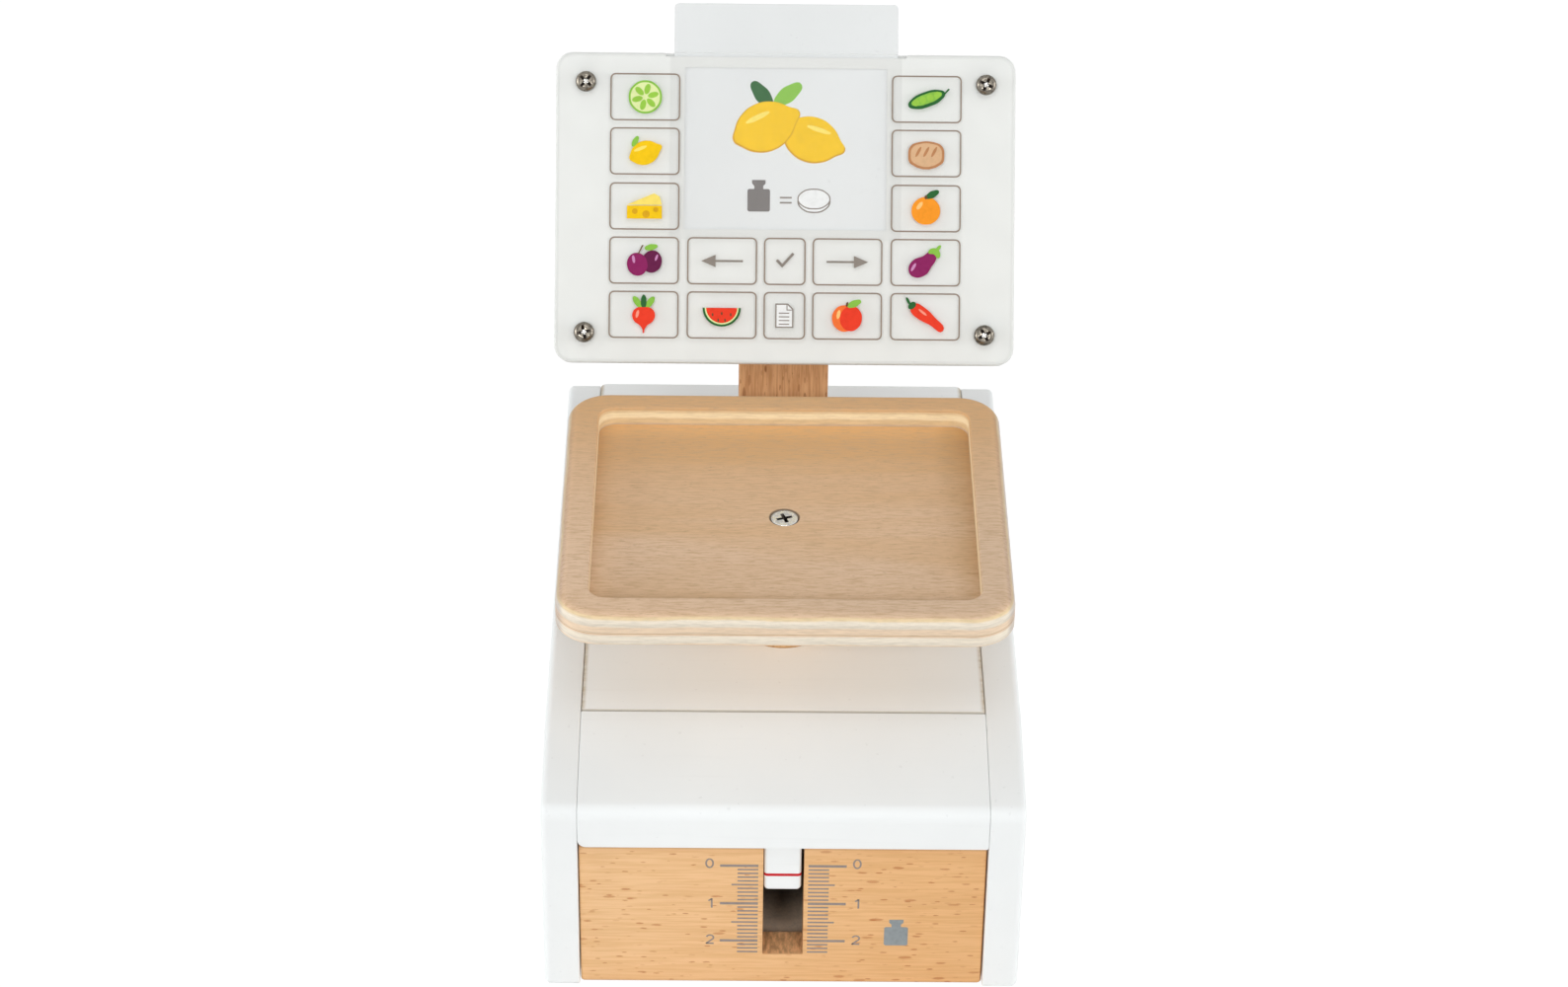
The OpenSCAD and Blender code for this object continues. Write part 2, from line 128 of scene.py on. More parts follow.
class PrintSizes(PropertyGroup):
    """Sizes of the printed scale on the front panel and of the pointer's line."""

    ticks: IntProperty(name="Ticks", description="Number of marks on each side", default=24, min=2)
    zero: length("Zero height", "Height of the zero mark above the table", 50.5)
    pitch: length("Pitch", "Distance from one mark to the next", 1.62)
    inner: length("Inner end", "Distance of the marks' inner ends from the middle", 8.1)
    short: length("Short mark", "Distance of a short mark's outer end from the middle", 15.0)
    half: length("Half mark", "Distance of a half mark's outer end from the middle", 17.0)
    full: length("Full mark", "Distance of a full mark's outer end from the middle", 20.8)
    figure_at: length("Figures", "Distance of the figures from the middle", 24.3)
    figure_high: length("Figure height", "Height of the figures", 4.1)
    figure_line: length("Figure line", "Thickness of the figures' lines", 0.58)
    short_line: length("Short line", "Thickness of the short marks", 0.63)
    full_line: length("Full line", "Thickness of the full marks", 1.0)
    film: length("Film", "Thickness of the print", 0.04)
    sign_at: length("Sign", "Distance of the weight sign from the middle", 38.4)
    sign_foot: length("Sign foot", "Height of the weight sign's foot", 16.4)
    sign_wide: length("Sign width", "Width of the weight sign", 8.0)
    line_at: length("Pointer line", "Height of the pointer's line at rest", 46.4)
    line: length("Pointer line width", "Width of the pointer's line", 1.1)
    right_shift: length("Right shift", "How much farther out the marks are at the right", 0.45)


class DisplaySizes(PropertyGroup):
    """Sizes of the leaning display, its keys and its card."""

    lean: FloatProperty(
        name="Lean", description="Lean of the display back from upright", default=math.radians(34),
        subtype="ANGLE",
    )
    wide: length("Width", "Width of the display", 163.0)
    high: length("Height", "Height along the face", 110.0)
    plate: length("Plate", "Thickness of the clear plate", 2.0)
    board: length("Board", "Thickness of the backing board", 8.0)
    corner: length("Corner", "Radius of the display's corners", 6.0)
    window_half: length("Window half", "Half the width of the clear window", 35.85)
    window_low: length("Window low", "Lower edge of the window", 47.6)
    window_high: length("Window high", "Upper edge of the window", 104.9)
    key_wide: length("Key width", "Width of a key's outline", 24.8)
    key_high: length("Key height", "Height of a key's outline", 16.8)
    key_small: length("Small key", "Width of the middle keys", 14.8)
    key_corner: length("Key corner", "Radius of the keys' corners", 1.9)
    key_line: length("Key line", "Thickness of the keys' outlines", 0.52)
    print_in: length("Print inset", "Clear border of the plate round its white print", 1.3)
    screw_in: length("Screw inset", "Distance of the screws from the edges", 10.6)
    screw_head: length("Screw head", "Radius of the screws' heads", 3.65)
    screw_high: length("Screw height", "Height of the screws' heads", 2.3)
    card_half: length("Card half", "Half the width of the card", 39.7)
    card_play: length("Card play", "Room beside the card in its pocket", 2.8)
    card_thick: length("Card thickness", "Thickness of the card", 1.0)
    card_low: length("Card low", "Lower edge of the card along the face", 44.05)
    card_top: length("Card top", "Upper edge of the card along the face", 127.75)


class ScaleColours(PropertyGroup):
    """Colours of the wood, paint, print and metal."""

    paint: tint("Paint", "White paint of the case", 240, 243, 243)
    beech: tint("Beech", "Light beech of the front panel", 238, 195, 146)
    beech_dark: tint("Beech grain", "Darker grain of the front panel", 230, 184, 132)
    beech_deep: tint("Beech, deeper side", "Beech at the front panel's right", 221, 168, 110)
    fleck: tint("Fleck", "Flecks in the beech", 184, 112, 60)
    raw_wood: tint("Raw wood", "Sawn wood inside the slot", 216, 168, 120)
    post: tint("Post", "Beech of the display's post", 216, 165, 119)
    post_dark: tint("Post grain", "Darker grain of the post", 188, 135, 90)
    ply: tint("Plywood face", "Face veneer of the tray", 224, 193, 163)
    ply_dark: tint("Plywood figure", "Deeper figure of the face veneer", 218, 180, 139)
    # Warm tone towards the back of the tray: painted warm bounce light.
    ply_warm_bounce: tint("Plywood, warm end", "Face veneer towards the back", 215, 165, 104)
    ply_cream: tint("Ply, light layer", "Light layers in the plywood's edge", 233, 222, 204)
    ply_yellow: tint("Ply, upper layer", "Layer under the face veneer", 230, 206, 164)
    ply_brown: tint("Ply, dark layer", "Dark layers in the plywood's edge", 228, 204, 176)
    fibre_board: tint("Fibre board", "Raw fibre board inside the case", 230, 206, 182)
    inner_wood: tint("Inner wood", "Wood of the parts inside the case", 210, 176, 132)
    print_grey: tint("Print", "Grey print of the scale", 150, 140, 134)
    sign_grey: tint("Sign", "Grey print of the weight sign", 144, 152, 155)
    line_red: tint("Red line", "Line on the pointer", 200, 36, 44)
    board_white: tint("Display white", "White of the display", 231, 233, 230)
    card_white: tint("Card white", "White of the card", 225, 228, 228)
    key_line: tint("Key line", "Outlines of the keys", 146, 131, 118)
    nickel: tint("Nickel", "Bright screws", 216, 214, 210)
    dark_nickel: tint("Dark nickel", "Display screws", 99, 94, 86)
    # Screw cross: painted shade, a darker metal inside the screws' crosses.
    recess: tint("Screw cross", "Inside of the screws' crosses", 66, 60, 55)
    # Joint: brownish painted shade for the paint beside an open seam.
    joint: tint("Joint", "Dirt on the paint beside an open joint", 190, 174, 148)
    # Recess wall: lighter layers that are painted light for the lit wall of the recess.
    wall: tint("Recess wall", "Light layers in the wall of the tray's recess", 250, 232, 196)
    steel: tint("Steel", "Spring and inner screws", 170, 172, 176)


def settings(context, group):
    """The sizes of one group, and the colours."""
    return getattr(context.scene, "toy_scale_" + group), context.scene.toy_scale_colours


def deselect():
    """Object mode with nothing selected."""
    if bpy.context.object and bpy.context.object.mode != "OBJECT":
        bpy.ops.object.mode_set(mode="OBJECT")
    bpy.ops.object.select_all(action="DESELECT")


def activate(*pieces):
    deselect()
    for piece in pieces:
        piece.select_set(True)
    bpy.context.view_layer.objects.active = pieces[0]


def rename(name):
    piece = bpy.context.object
    piece.name = piece.data.name = name
    return piece


def fix_place(piece, matrix=None):
    """Puts a piece where the matrix says and moves that place into its mesh."""
    activate(piece)
    if matrix is not None:
        piece.matrix_world = matrix @ piece.matrix_world
    bpy.ops.object.transform_apply(location=True, rotation=True, scale=True)
    return piece


def block(name, low, high):
    """A block between two corners."""
    deselect()
    low, high = Vector(low), Vector(high)
    bpy.ops.mesh.primitive_cube_add(size=1, location=(low + high) / 2, scale=high - low)
    return fix_place(rename(name))


def rod(name, foot, radius, tall, sides=64, top_radius=None):
    """An upright round rod, or a cone where the top has another radius."""
    deselect()
    bpy.ops.mesh.primitive_cone_add(
        vertices=sides, radius1=radius, radius2=radius if top_radius is None else top_radius, depth=tall,
        location=(foot[0], foot[1], foot[2] + tall / 2),
    )
    return fix_place(rename(name))


def above(point, height):
    """The place straight above or below a point, at this height."""
    return Vector((point.x, point.y, height))


def turned_up(x=0.0, y=0.0, z=0.0):
    """Lays flat drawings upright, facing the front, at this place."""
    return Matrix.Translation((x, y, z)) @ Matrix.Rotation(math.radians(90), 4, "X")


@contextmanager
def editing(piece, kind="EDGE"):
    """Edit mode on one piece with nothing selected."""
    activate(piece)
    bpy.ops.object.mode_set(mode="EDIT")
    bpy.ops.mesh.select_mode(type=kind)
    bpy.ops.mesh.select_all(action="DESELECT")
    yield
    bpy.ops.object.mode_set(mode="OBJECT")


def pick(piece, kind, test):
    """Selects the edges or faces that pass the test."""
    mesh = bmesh.from_edit_mesh(piece.data)
    found = [part for part in getattr(mesh, kind) if test(part)]
    if not found:
        raise RuntimeError(f"no {kind} to work on in {piece.name}")
    for part in found:
        part.select_set(True)
    bmesh.update_edit_mesh(piece.data)


def edges(direction=None, **levels):
    """A test for edges along an axis and with both ends at these levels."""

    def test(a, b):
        run = b - a
        if direction and abs(getattr(run, direction)) <= 0.99 * run.length:
            return False
        return all(abs(getattr(end, axis) - level) < NEAR for axis, level in levels.items() for end in (a, b))

    return test


def round_edges(piece, test, reach, steps=4):
    """Rounds the edges whose two ends pass the test."""
    with editing(piece):
        pick(piece, "edges", lambda edge: test(*(end.co for end in edge.verts)))
        bpy.ops.mesh.bevel(offset=reach, segments=steps, profile=0.5, affect="EDGES", clamp_overlap=True)


def extrude(distance):
    """Draws the picked faces out along Z."""
    bpy.ops.mesh.extrude_region_move(TRANSFORM_OT_translate={"value": (0, 0, distance)})


def slice_off(piece, point, normal):
    """Cuts the piece with a plane and closes it, without the side that the normal points to."""
    with editing(piece, "FACE"):
        bpy.ops.mesh.select_all(action="SELECT")
        bpy.ops.mesh.bisect(plane_co=point, plane_no=normal, use_fill=True, clear_outer=True)


def modify(piece, kind, **values):
    """Gives a piece a modifier with these values and applies it."""
    activate(piece)
    modifier = piece.modifiers.new(kind, kind)
    for key, value in values.items():
        setattr(modifier, key, value)
    bpy.ops.object.modifier_apply(modifier=modifier.name)


def cut_away(piece, tool):
    """Takes the tool's shape out of the piece."""
    modify(piece, "BOOLEAN", operation="DIFFERENCE", solver="EXACT", object=tool)
    mesh = tool.data
    bpy.data.objects.remove(tool)
    bpy.data.meshes.remove(mesh)


def cut_block(piece, low, high):
    cut_away(piece, block("cutter", low, high))


def cut_rod(piece, *shape):
    cut_away(piece, rod("cutter", *shape))


def soften(piece, reach, steps=3, angle=40):
    """Rounds every edge that is sharper than the angle."""
    modify(
        piece, "BEVEL", width=reach, segments=steps, limit_method="ANGLE", angle_limit=math.radians(angle),
        use_clamp_overlap=True,
    )


def smooth(piece, angle=32):
    """Smooth shading that keeps the large faces flat."""
    activate(piece)
    bpy.ops.object.shade_smooth_by_angle(angle=math.radians(angle))
    modify(piece, "WEIGHTED_NORMAL", keep_sharp=True)


def join(name, pieces):
    activate(*pieces)
    if len(pieces) > 1:
        bpy.ops.object.join()
    return rename(name)


def coat(piece, *finishes):
    piece.data.materials.clear()
    for finish in finishes:
        piece.data.materials.append(finish)


def settle(piece, body, slot, finish=None, *nodes):
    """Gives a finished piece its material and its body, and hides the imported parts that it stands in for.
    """
    if finish is not None:
        coat(piece, finish)
    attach(piece, body)
    if nodes:
        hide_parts(*nodes)


def complete(piece, rounding, *place):
    """Softens a piece, shades it smoothly and settles it in the place that settle reads."""
    soften(piece, rounding)
    smooth(piece)
    settle(piece, *place)


class Finish:
    """The node tree of one finish, with short ways to add nodes and join them."""

    def __init__(self, name, **sockets):
        self.material = bpy.data.materials.new(name)
        self.material.use_nodes = True
        self.tree = self.material.node_tree
        self.shader = self.tree.nodes["Principled BSDF"]
        self.place = self.add("TexCoord").outputs["Object"]
        for socket, value in sockets.items():
            self.set(socket.replace("_", " "), value)

    def add(self, kind, inputs=None, **values):
        node = self.tree.nodes.new("ShaderNode" + kind)
        for key, value in values.items():
            setattr(node, key, value)
        for key, value in (inputs or {}).items():
            self.feed(node.inputs[key], value)
        return node

    def feed(self, socket, value):
        if isinstance(value, bpy.types.NodeSocket):
            self.tree.links.new(value, socket)
        elif socket.type == "RGBA" and len(value) == 3:
            socket.default_value = (*value, 1.0)
        else:
            socket.default_value = value

    def set(self, socket, value):
        self.feed(self.shader.inputs[socket], value)

    def spread(self, x, y, z, shift=(0, 0, 0), turn=(0, 0, 0)):
        """Object coordinates, in pattern steps per metre along each axis."""
        inputs = {"Vector": self.place, "Location": shift, "Rotation": turn, "Scale": (x, y, z)}
        return self.add("Mapping", inputs).outputs["Vector"]

    def noise(self, vector, detail=3.0, rough=0.5, twist=0.0):
        inputs = {"Vector": vector, "Scale": 1.0, "Detail": detail, "Roughness": rough, "Distortion": twist}
        return self.add("TexNoise", inputs).outputs["Fac"]

    def speckle(self, steps, shift=(0, 0, 0), **more):
        """A noise with the same number of steps per metre along each axis."""
        return self.noise(self.spread(steps, steps, steps, shift), **more)

    def grain(self, direction, lengthwise, crosswise, shift=(0, 0, 0), **more):
        """A noise drawn out along the wood's grain."""
        steps = [lengthwise if axis == direction else crosswise for axis in "XYZ"]
        return self.noise(self.spread(*steps, shift), **more)

    def band(self, value, low, high, first=0.0, last=1.0):
        """Goes smoothly from first to last as the value goes from low to high."""
        inputs = {"Value": value, "From Min": low, "From Max": high, "To Min": first, "To Max": last}
        return self.add("MapRange", inputs, interpolation_type="SMOOTHSTEP").outputs["Result"]

    def maths(self, kind, a, b=0.0):
        return self.add("Math", {0: a, 1: b}, operation=kind).outputs[0]

    def times(self, a, b):
        return self.maths("MULTIPLY", a, b)

    def plus(self, a, b):
        return self.maths("ADD", a, b)

    def minus(self, a, b):
        return self.maths("SUBTRACT", a, b)

    def larger(self, a, b):
        return self.maths("MAXIMUM", a, b)

    def blend(self, share, a, b, kind="MIX"):
        return self.add("Mix", {0: share, 6: a, 7: b}, data_type="RGBA", blend_type=kind).outputs[2]

    def axes(self, source=None):
        return self.add("SeparateXYZ", {"Vector": source or self.place}).outputs[:]

    def look(self, tone, gloss, relief):
        """Sets the colour, the roughness by a pattern and its range, and the relief by a height."""
        pattern, least, most = gloss
        height, strength, depth = relief
        self.set("Base Color", tone)
        self.set("Roughness", self.band(pattern, 0.3, 0.7, least, most))
        bump = self.add("Bump", {"Height": height, "Strength": strength, "Distance": depth})
        self.set("Normal", bump.outputs["Normal"])
        return self.material


def shade(colour, factor):
    return tuple(min(1.0, c * factor) for c in colour)


def white_paint(name, colour, direction, rough=0.46, joint=None):
    """Paint on wood: the grain shows faintly, with a fine uneven skin.

    A joint gives where the board's sides and its front edge are, and the colour of the painted shade beside
    the open seams there.
    """
    paint = Finish(name, Specular_IOR_Level=0.35)
    fibres = paint.grain(direction, 18, 520, detail=4, rough=0.6)
    clouds = paint.speckle(14, detail=3)
    skin = paint.speckle(900, detail=2)
    specks = paint.speckle(420, (3, 5, 7), detail=1)
    tone = paint.blend(paint.band(clouds, 0.35, 0.7), colour, shade(colour, 0.965))
    tone = paint.blend(paint.band(fibres, 0.56, 0.74, 0.0, 0.5), tone, shade(colour, 0.955))
    tone = paint.blend(paint.band(specks, 0.72, 0.8, 0.0, 0.35), tone, shade(colour, 0.8))
    # Painted shade: the paint turns brownish and darker beside the open seams at the sides and the front
    # edge.
    if joint:
        half, front, seam_shade = joint
        x, y, _ = paint.axes()
        at_sides = paint.band(paint.maths("ABSOLUTE", x), half - 1.8 * MM, half)
        at_front = paint.band(y, front + 0.3 * MM, front + 0.1 * MM, 0.0, 0.6)
        near = paint.larger(paint.times(at_sides, paint.band(fibres, 0.3, 0.7, 0.6, 1.0)), at_front)
        tone = paint.blend(near, tone, seam_shade)
    height = paint.plus(paint.times(fibres, 0.7), paint.times(skin, 0.5))
    return paint.look(tone, (clouds, rough - 0.05, rough + 0.09), (height, 0.22, 0.12 * MM))


def painted_fibre_board(name, paint, raw, top, front):
    """Wood fibre board that is painted below and left raw on top, where painted shade darkens it away from
    the front.
    """
    board = Finish(name, Specular_IOR_Level=0.3)
    specks = board.speckle(700, detail=4, rough=0.7)
    clouds = board.speckle(30, detail=3)
    # The raw top is darkened further in from the front: painted shade inside the case.
    near, deep = (
        board.blend(board.band(specks, 0.35, 0.7), shade(raw, light), shade(raw, dark))
        for light, dark in ((1.2, 1.0), (0.34, 0.26))
    )
    _, y, z = board.axes()
    fibre = board.blend(board.band(y, front, front + 22 * MM), near, deep)
    white = board.blend(board.band(clouds, 0.35, 0.7), paint, shade(paint, 0.96))
    tone = board.blend(board.band(z, top - 0.6 * MM, top - 0.3 * MM), white, fibre)
    return board.look(tone, (specks, 0.5, 0.68), (specks, 0.2, 0.1 * MM))


def flecks(finish, direction, long, wide, share, largest, shift):
    """Short lens-shaped marks along the grain: one in some of the cells of this size in millimetres."""
    steps = [1000 / long if axis == direction else 1000 / wide for axis in "XYZ"]
    turn = {"X": (0, -0.35, 0), "Y": (0.3, 0, 0), "Z": (0.3, 0, 0)}[direction]
    place = finish.spread(*steps, shift, turn)
    ragged = finish.noise(finish.spread(*[s * 2.2 for s in steps], shift), detail=3, rough=0.7)
    cells = finish.add("TexVoronoi", {"Vector": place, "Scale": 1.0})
    chance, depth = finish.axes(cells.outputs["Color"])[:2]
    size = finish.band(chance, 1.0 - share, 1.0, 0.0, largest)
    inside = finish.minus(size, cells.outputs["Distance"])
    inside = finish.plus(inside, finish.band(ragged, 0.3, 0.7, -0.05, 0.05))
    return finish.times(finish.band(inside, 0.0, 0.12), finish.band(depth, 0.0, 1.0, 0.35, 1.0))


def beech(name, light, dark, fleck, direction, fleck_share=0.5, seed=0.0):
    """Beech with fine grain and short dark flecks along the grain."""
    wood = Finish(name, Specular_IOR_Level=0.3)
    shift = (seed, seed * 0.7, seed * 1.3)
    fine = wood.grain(direction, 55, 1300, shift, detail=3, rough=0.6)
    streak = wood.grain(direction, 9, 260, shift, detail=4, rough=0.6)
    broad = wood.grain(direction, 5, 46, shift, detail=2)
    large = flecks(wood, direction, 8.0, 2.0, fleck_share, 0.34, shift)
    small = flecks(wood, direction, 4.4, 1.1, 1.25 * fleck_share, 0.34, (seed + 4, seed + 2, seed + 7))
    tone = wood.blend(wood.band(fine, 0.36, 0.66), shade(light, 1.01), shade(dark, 0.985))
    tone = wood.blend(wood.band(streak, 0.5, 0.72, 0.0, 0.4), tone, shade(dark, 0.93))
    tone = wood.blend(wood.band(broad, 0.42, 0.72, 0.0, 0.4), tone, dark)
    tone = wood.blend(wood.times(small, 0.68), tone, fleck)
    wood.tone = wood.blend(wood.times(large, 0.8), tone, fleck)
    height = wood.minus(fine, wood.times(large, 0.5))
    wood.look(wood.tone, (fine, 0.48, 0.62), (height, 0.2, 0.12 * MM))
    return wood


def plywood(name, colours, top, layers, seed=0.0, figure=1.0):
    """Plywood whose layers show by their height under its top, so a rounded edge cuts through them.

    The figure is the share of the deeper tone in the face veneer.
    """
    ply = Finish(name, Specular_IOR_Level=0.3)
    shift = (seed, seed * 1.7, seed * 0.4)
    low, high = NODE["tray_base"]
    x, y, z = ply.axes()
    light, dark = colours.ply, colours.ply_dark
    fine = ply.grain("X", 150, 1000, shift, detail=5, rough=0.7)
    broad = ply.grain("X", 6, 40, shift, detail=3, twist=0.5)
    fibres = ply.grain("X", 320, 1500, shift, detail=3, rough=0.6)
    # Painted light: the veneer turns warmer and deeper towards the back, for warm light bounced off the back
    # of the recess.
    back = ply.band(y, low.y + 0.35 * (high.y - low.y), high.y - 8 * MM)
    tone = ply.blend(ply.band(broad, 0.3, 0.7, 0.0, figure), shade(light, 1.06), shade(dark, 1.03))
    tone = ply.blend(ply.times(back, 0.7), tone, colours.ply_warm_bounce)
    tone = ply.blend(ply.band(fine, 0.4, 0.7, 0.0, 0.8), tone, shade(dark, 0.84))
    tone = ply.blend(ply.band(fibres, 0.58, 0.76, 0.0, 0.65), tone, shade(dark, 0.68))
    ends = ply.noise(ply.spread(190, 190, 1500), detail=4, rough=0.65)
    wave = ply.times(ply.minus(ply.noise(ply.spread(60, 60, 20), detail=4), 0.5), 1.4 * MM)
    wave = ply.times(wave, ply.band(z, top - 1.5 * MM, top - 0.1 * MM, 1.0, 0.0))
    height = ply.plus(z, wave)
    for under, soft, layer in layers:
        wood = ply.blend(ply.band(ends, 0.36, 0.7), shade(layer, 1.03), shade(layer, 0.88))
        edge = top - under * MM
        tone = ply.blend(ply.band(height, edge - soft * MM, edge + soft * MM, 1.0, 0.0), tone, wood)
    # Painted shade: the plywood darkens towards the tray's left and right ends, where less light falls on
    # them.
    painted_side_shade = ply.band(ply.maths("ABSOLUTE", x), high.x - 3.2 * MM, high.x - 1.2 * MM)
    ply.tone = ply.blend(painted_side_shade, tone, ply.blend(1.0, tone, (0.76, 0.75, 0.8), "MULTIPLY"))
    relief = ply.minus(fine, ply.times(fibres, 0.4))
    ply.look(ply.tone, (fine, 0.5, 0.64), (relief, 0.16, 0.12 * MM))
    return ply


def ink(name, colour, rough=0.5, depth=0.12):
    """Printed colour with slightly uneven cover."""
    film = Finish(name, Specular_IOR_Level=0.12)
    cover = film.speckle(700, detail=4, rough=0.6)
    patch = film.speckle(160, detail=2)
    tone = film.blend(film.band(cover, 0.42, 0.68), colour, shade(colour, 1.0 - depth))
    tone = film.blend(film.band(patch, 0.45, 0.7, 0.0, 0.5), tone, shade(colour, 1.0 + depth))
    return film.look(tone, (cover, rough - 0.06, rough + 0.08), (cover, 0.05, 0.05 * MM))


def metal(name, colour, rough=0.28, worn=1.25, patches=480):
    """Plated metal with fine scratches and duller patches, given as patches per metre."""
    plate = Finish(name, Metallic=1.0)
    lines = plate.noise(plate.spread(500, 2600, 500), detail=2)
    patch = plate.speckle(patches, detail=2)
    tone = plate.blend(plate.band(patch, 0.4, 0.7), shade(colour, worn), shade(colour, 0.8))
    return plate.look(tone, (patch, rough - 0.08, rough + 0.14), (lines, 0.04, 0.03 * MM))


def clear_plastic(name, cover, rough):
    """Clear plastic: cover is how much of its own pale surface hides what lies behind it."""
    sheet = Finish(name, Alpha=cover, IOR=1.49, Specular_IOR_Level=0.5)
    flow = sheet.speckle(60, detail=2)
    tone = sheet.blend(sheet.band(flow, 0.3, 0.7), (0.94, 0.95, 0.95), (0.9, 0.92, 0.92))
    return sheet.look(tone, (flow, rough, rough + 0.06), (flow, 0.02, 0.1 * MM))


def case_edges(size):
    """Front, top and nose height of the case."""
    low, high = NODE["side_panel_left"]
    return low.y, high.z, high.z - size.slope_drop


def slope_up(size):
    """Direction that the case's front slope faces."""
    return Vector((0, -size.slope_drop, size.slope_depth)).normalized()


def slope_front(piece, size):
    """Slices the sloped front corner off a block and rounds the bend."""
    front, top, nose = case_edges(size)
    slice_off(piece, (0, front + size.slope_depth, top), slope_up(size))
    round_edges(piece, edges("x", y=front, z=nose), size.nose_reach, 8)


class MakeSidePanels(Operator):
    """White side panels with a sloped front corner and rounded edges"""

    bl_idname = "toy_scale.side_panels"
    bl_label = "Side panels"

    def execute(self, context):
        size, colours = settings(context, "case")
        finish = white_paint("side paint", colours.paint, "Y")
        for node, name in (("side_panel_left", "left_side"), ("side_panel_right", "right_side")):
            low, high = NODE[node]
            side = block(name, low, high)
            slope_front(side, size)
            corners = ((low.y, low.z), (high.y, low.z), (high.y, high.z))
            ends = [edges("x", y=y, z=z) for y, z in corners]
            round_edges(side, lambda a, b: any(end(a, b) for end in ends), size.end_round)
            outer, inner = (low.x, high.x) if low.x < 0 else (high.x, low.x)
            round_edges(side, edges(x=outer), size.outer_round, 5)
            round_edges(side, edges(x=inner), size.inner_round, 3)
            smooth(side)
            settle(side, "case", "white_paint", finish, node)
        return {"FINISHED"}


class MakeFrontPanel(Operator):
    """Beech front panel with the pointer's slot"""

    bl_idname = "toy_scale.front_panel"
    bl_label = "Front panel"

    def execute(self, context):
        size, colours = settings(context, "case")
        low, high = NODE["front_panel"]
        panel = block("front_board", low, high)
        round_edges(panel, edges("y", z=low.z), 0.6 * size.corner_round, 5)
        half = size.slot_width / 2
        cut_block(
            panel,
            (-half, low.y - PAST, size.slot_floor),
            (half + size.slot_room, high.y + PAST, high.z + PAST),
        )
        finish = self.front_beech(size, colours, low, high)
        complete(panel, size.board_round, "case", "beech", finish, "front_panel")
        return {"FINISHED"}

    @staticmethod
    def front_beech(size, colours, low, high):
        """Beech that is a little deeper to the right, with painted shade along its joints and raw brown in
        the slot.
        """
        wood = beech("front beech", colours.beech, colours.beech_dark, colours.fleck, "X", 0.6)
        x, y, z = wood.axes()
        deeper = tuple(deep / dark for deep, dark in zip(colours.beech_deep, colours.beech_dark))
        tone = wood.blend(wood.band(x, low.x, high.x, 0.0, 0.8), wood.tone, deeper, "MULTIPLY")
        # Painted shade: a shadow line under the cover, a contact shadow at the foot and dark lines in the
        # seams beside the side panels.
        joint = wood.band(z, high.z - 3.2 * MM, high.z - 1.6 * MM)
        joint = wood.larger(joint, wood.band(z, 0.9 * MM, 0.0, 0.0, 0.8))
        joint = wood.larger(joint, wood.band(x, high.x - 0.5 * MM, high.x - 0.25 * MM))
        joint = wood.larger(joint, wood.band(x, low.x + 0.5 * MM, low.x + 0.25 * MM, 0.0, 0.3))
        tone = wood.blend(wood.times(joint, 0.75), tone, shade(colours.fleck, 0.6))
        half = (size.slot_width + size.slot_room) / 2
        aside = wood.maths("ABSOLUTE", wood.minus(x, size.slot_room / 2))
        within = wood.times(
            wood.band(aside, half - 0.05 * MM, half + 0.1 * MM, 1.0, 0.0),
            wood.band(y, low.y + 0.3 * MM, low.y + 0.8 * MM),
        )
        ends = wood.noise(wood.spread(900, 260, 900), detail=4, rough=0.7)
        raw = colours.raw_wood
        sawn = wood.blend(wood.band(ends, 0.35, 0.65), shade(raw, 1.2), shade(raw, 0.7))
        wood.set("Base Color", wood.blend(within, tone, sawn))
        return wood.material


def cut_out(name, outline, thick, bent=True):
    """A thin sheet along a closed outline, drawn in millimetres, with bent or straight sides."""
    deselect()
    bpy.ops.curve.primitive_bezier_circle_add(radius=1)
    piece = bpy.context.object
    curve = piece.data
    curve.dimensions = "2D"
    curve.fill_mode = "BOTH"
    curve.resolution_u = 5 if bent else 1
    points = curve.splines[0].bezier_points
    points.add(len(outline) - len(points))
    for point, (x, y) in zip(points, outline):
        point.co = (x, y, 0)
    bpy.ops.object.mode_set(mode="EDIT")
    bpy.ops.curve.select_all(action="SELECT")
    bpy.ops.curve.handle_type_set(type="AUTOMATIC" if bent else "VECTOR")
    bpy.ops.object.mode_set(mode="OBJECT")
    curve.extrude = thick
    activate(piece)
    bpy.ops.object.convert(target="MESH")
    return rename(name)


def placed(ring, x=0.0, y=0.0, big=1.0, turn=0.0):
    """An outline made larger, turned in degrees and moved."""
    c, s = big * math.cos(math.radians(turn)), big * math.sin(math.radians(turn))
    return [(x + u * c - v * s, y + u * s + v * c) for u, v in ring]


def arc(x, y, wide, tall, first, last, steps=20):
    turns = [math.radians(first + (last - first) * i / steps) for i in range(steps + 1)]
    return [(x + wide * math.cos(t), y + tall * math.sin(t)) for t in turns]


def oval(x, y, wide, tall=None, turn=0.0):
    """Eight points of an oval with these half sizes, turned in degrees."""
    return placed(arc(0, 0, wide, wide if tall is None else tall, 0, 315, 7), x, y, turn=turn)


def bar(x, y, wide, tall):
    return [(x + u * wide / 2, y + v * tall / 2) for u, v in ((-1, -1), (1, -1), (1, 1), (-1, 1))]


def weight_outline(x, y, wide):
    """A plain shop weight with a knob: x is its middle and y its foot."""
    half = [(0.44, 0), (0.5, 0.06), (0.5, 0.94), (0.44, 1), (0.2, 1), (0.2, 1.14), (0.3, 1.24), (0.3, 1.4)]
    return placed(half + [(-u, v) for u, v in reversed(half)], x, y, wide)


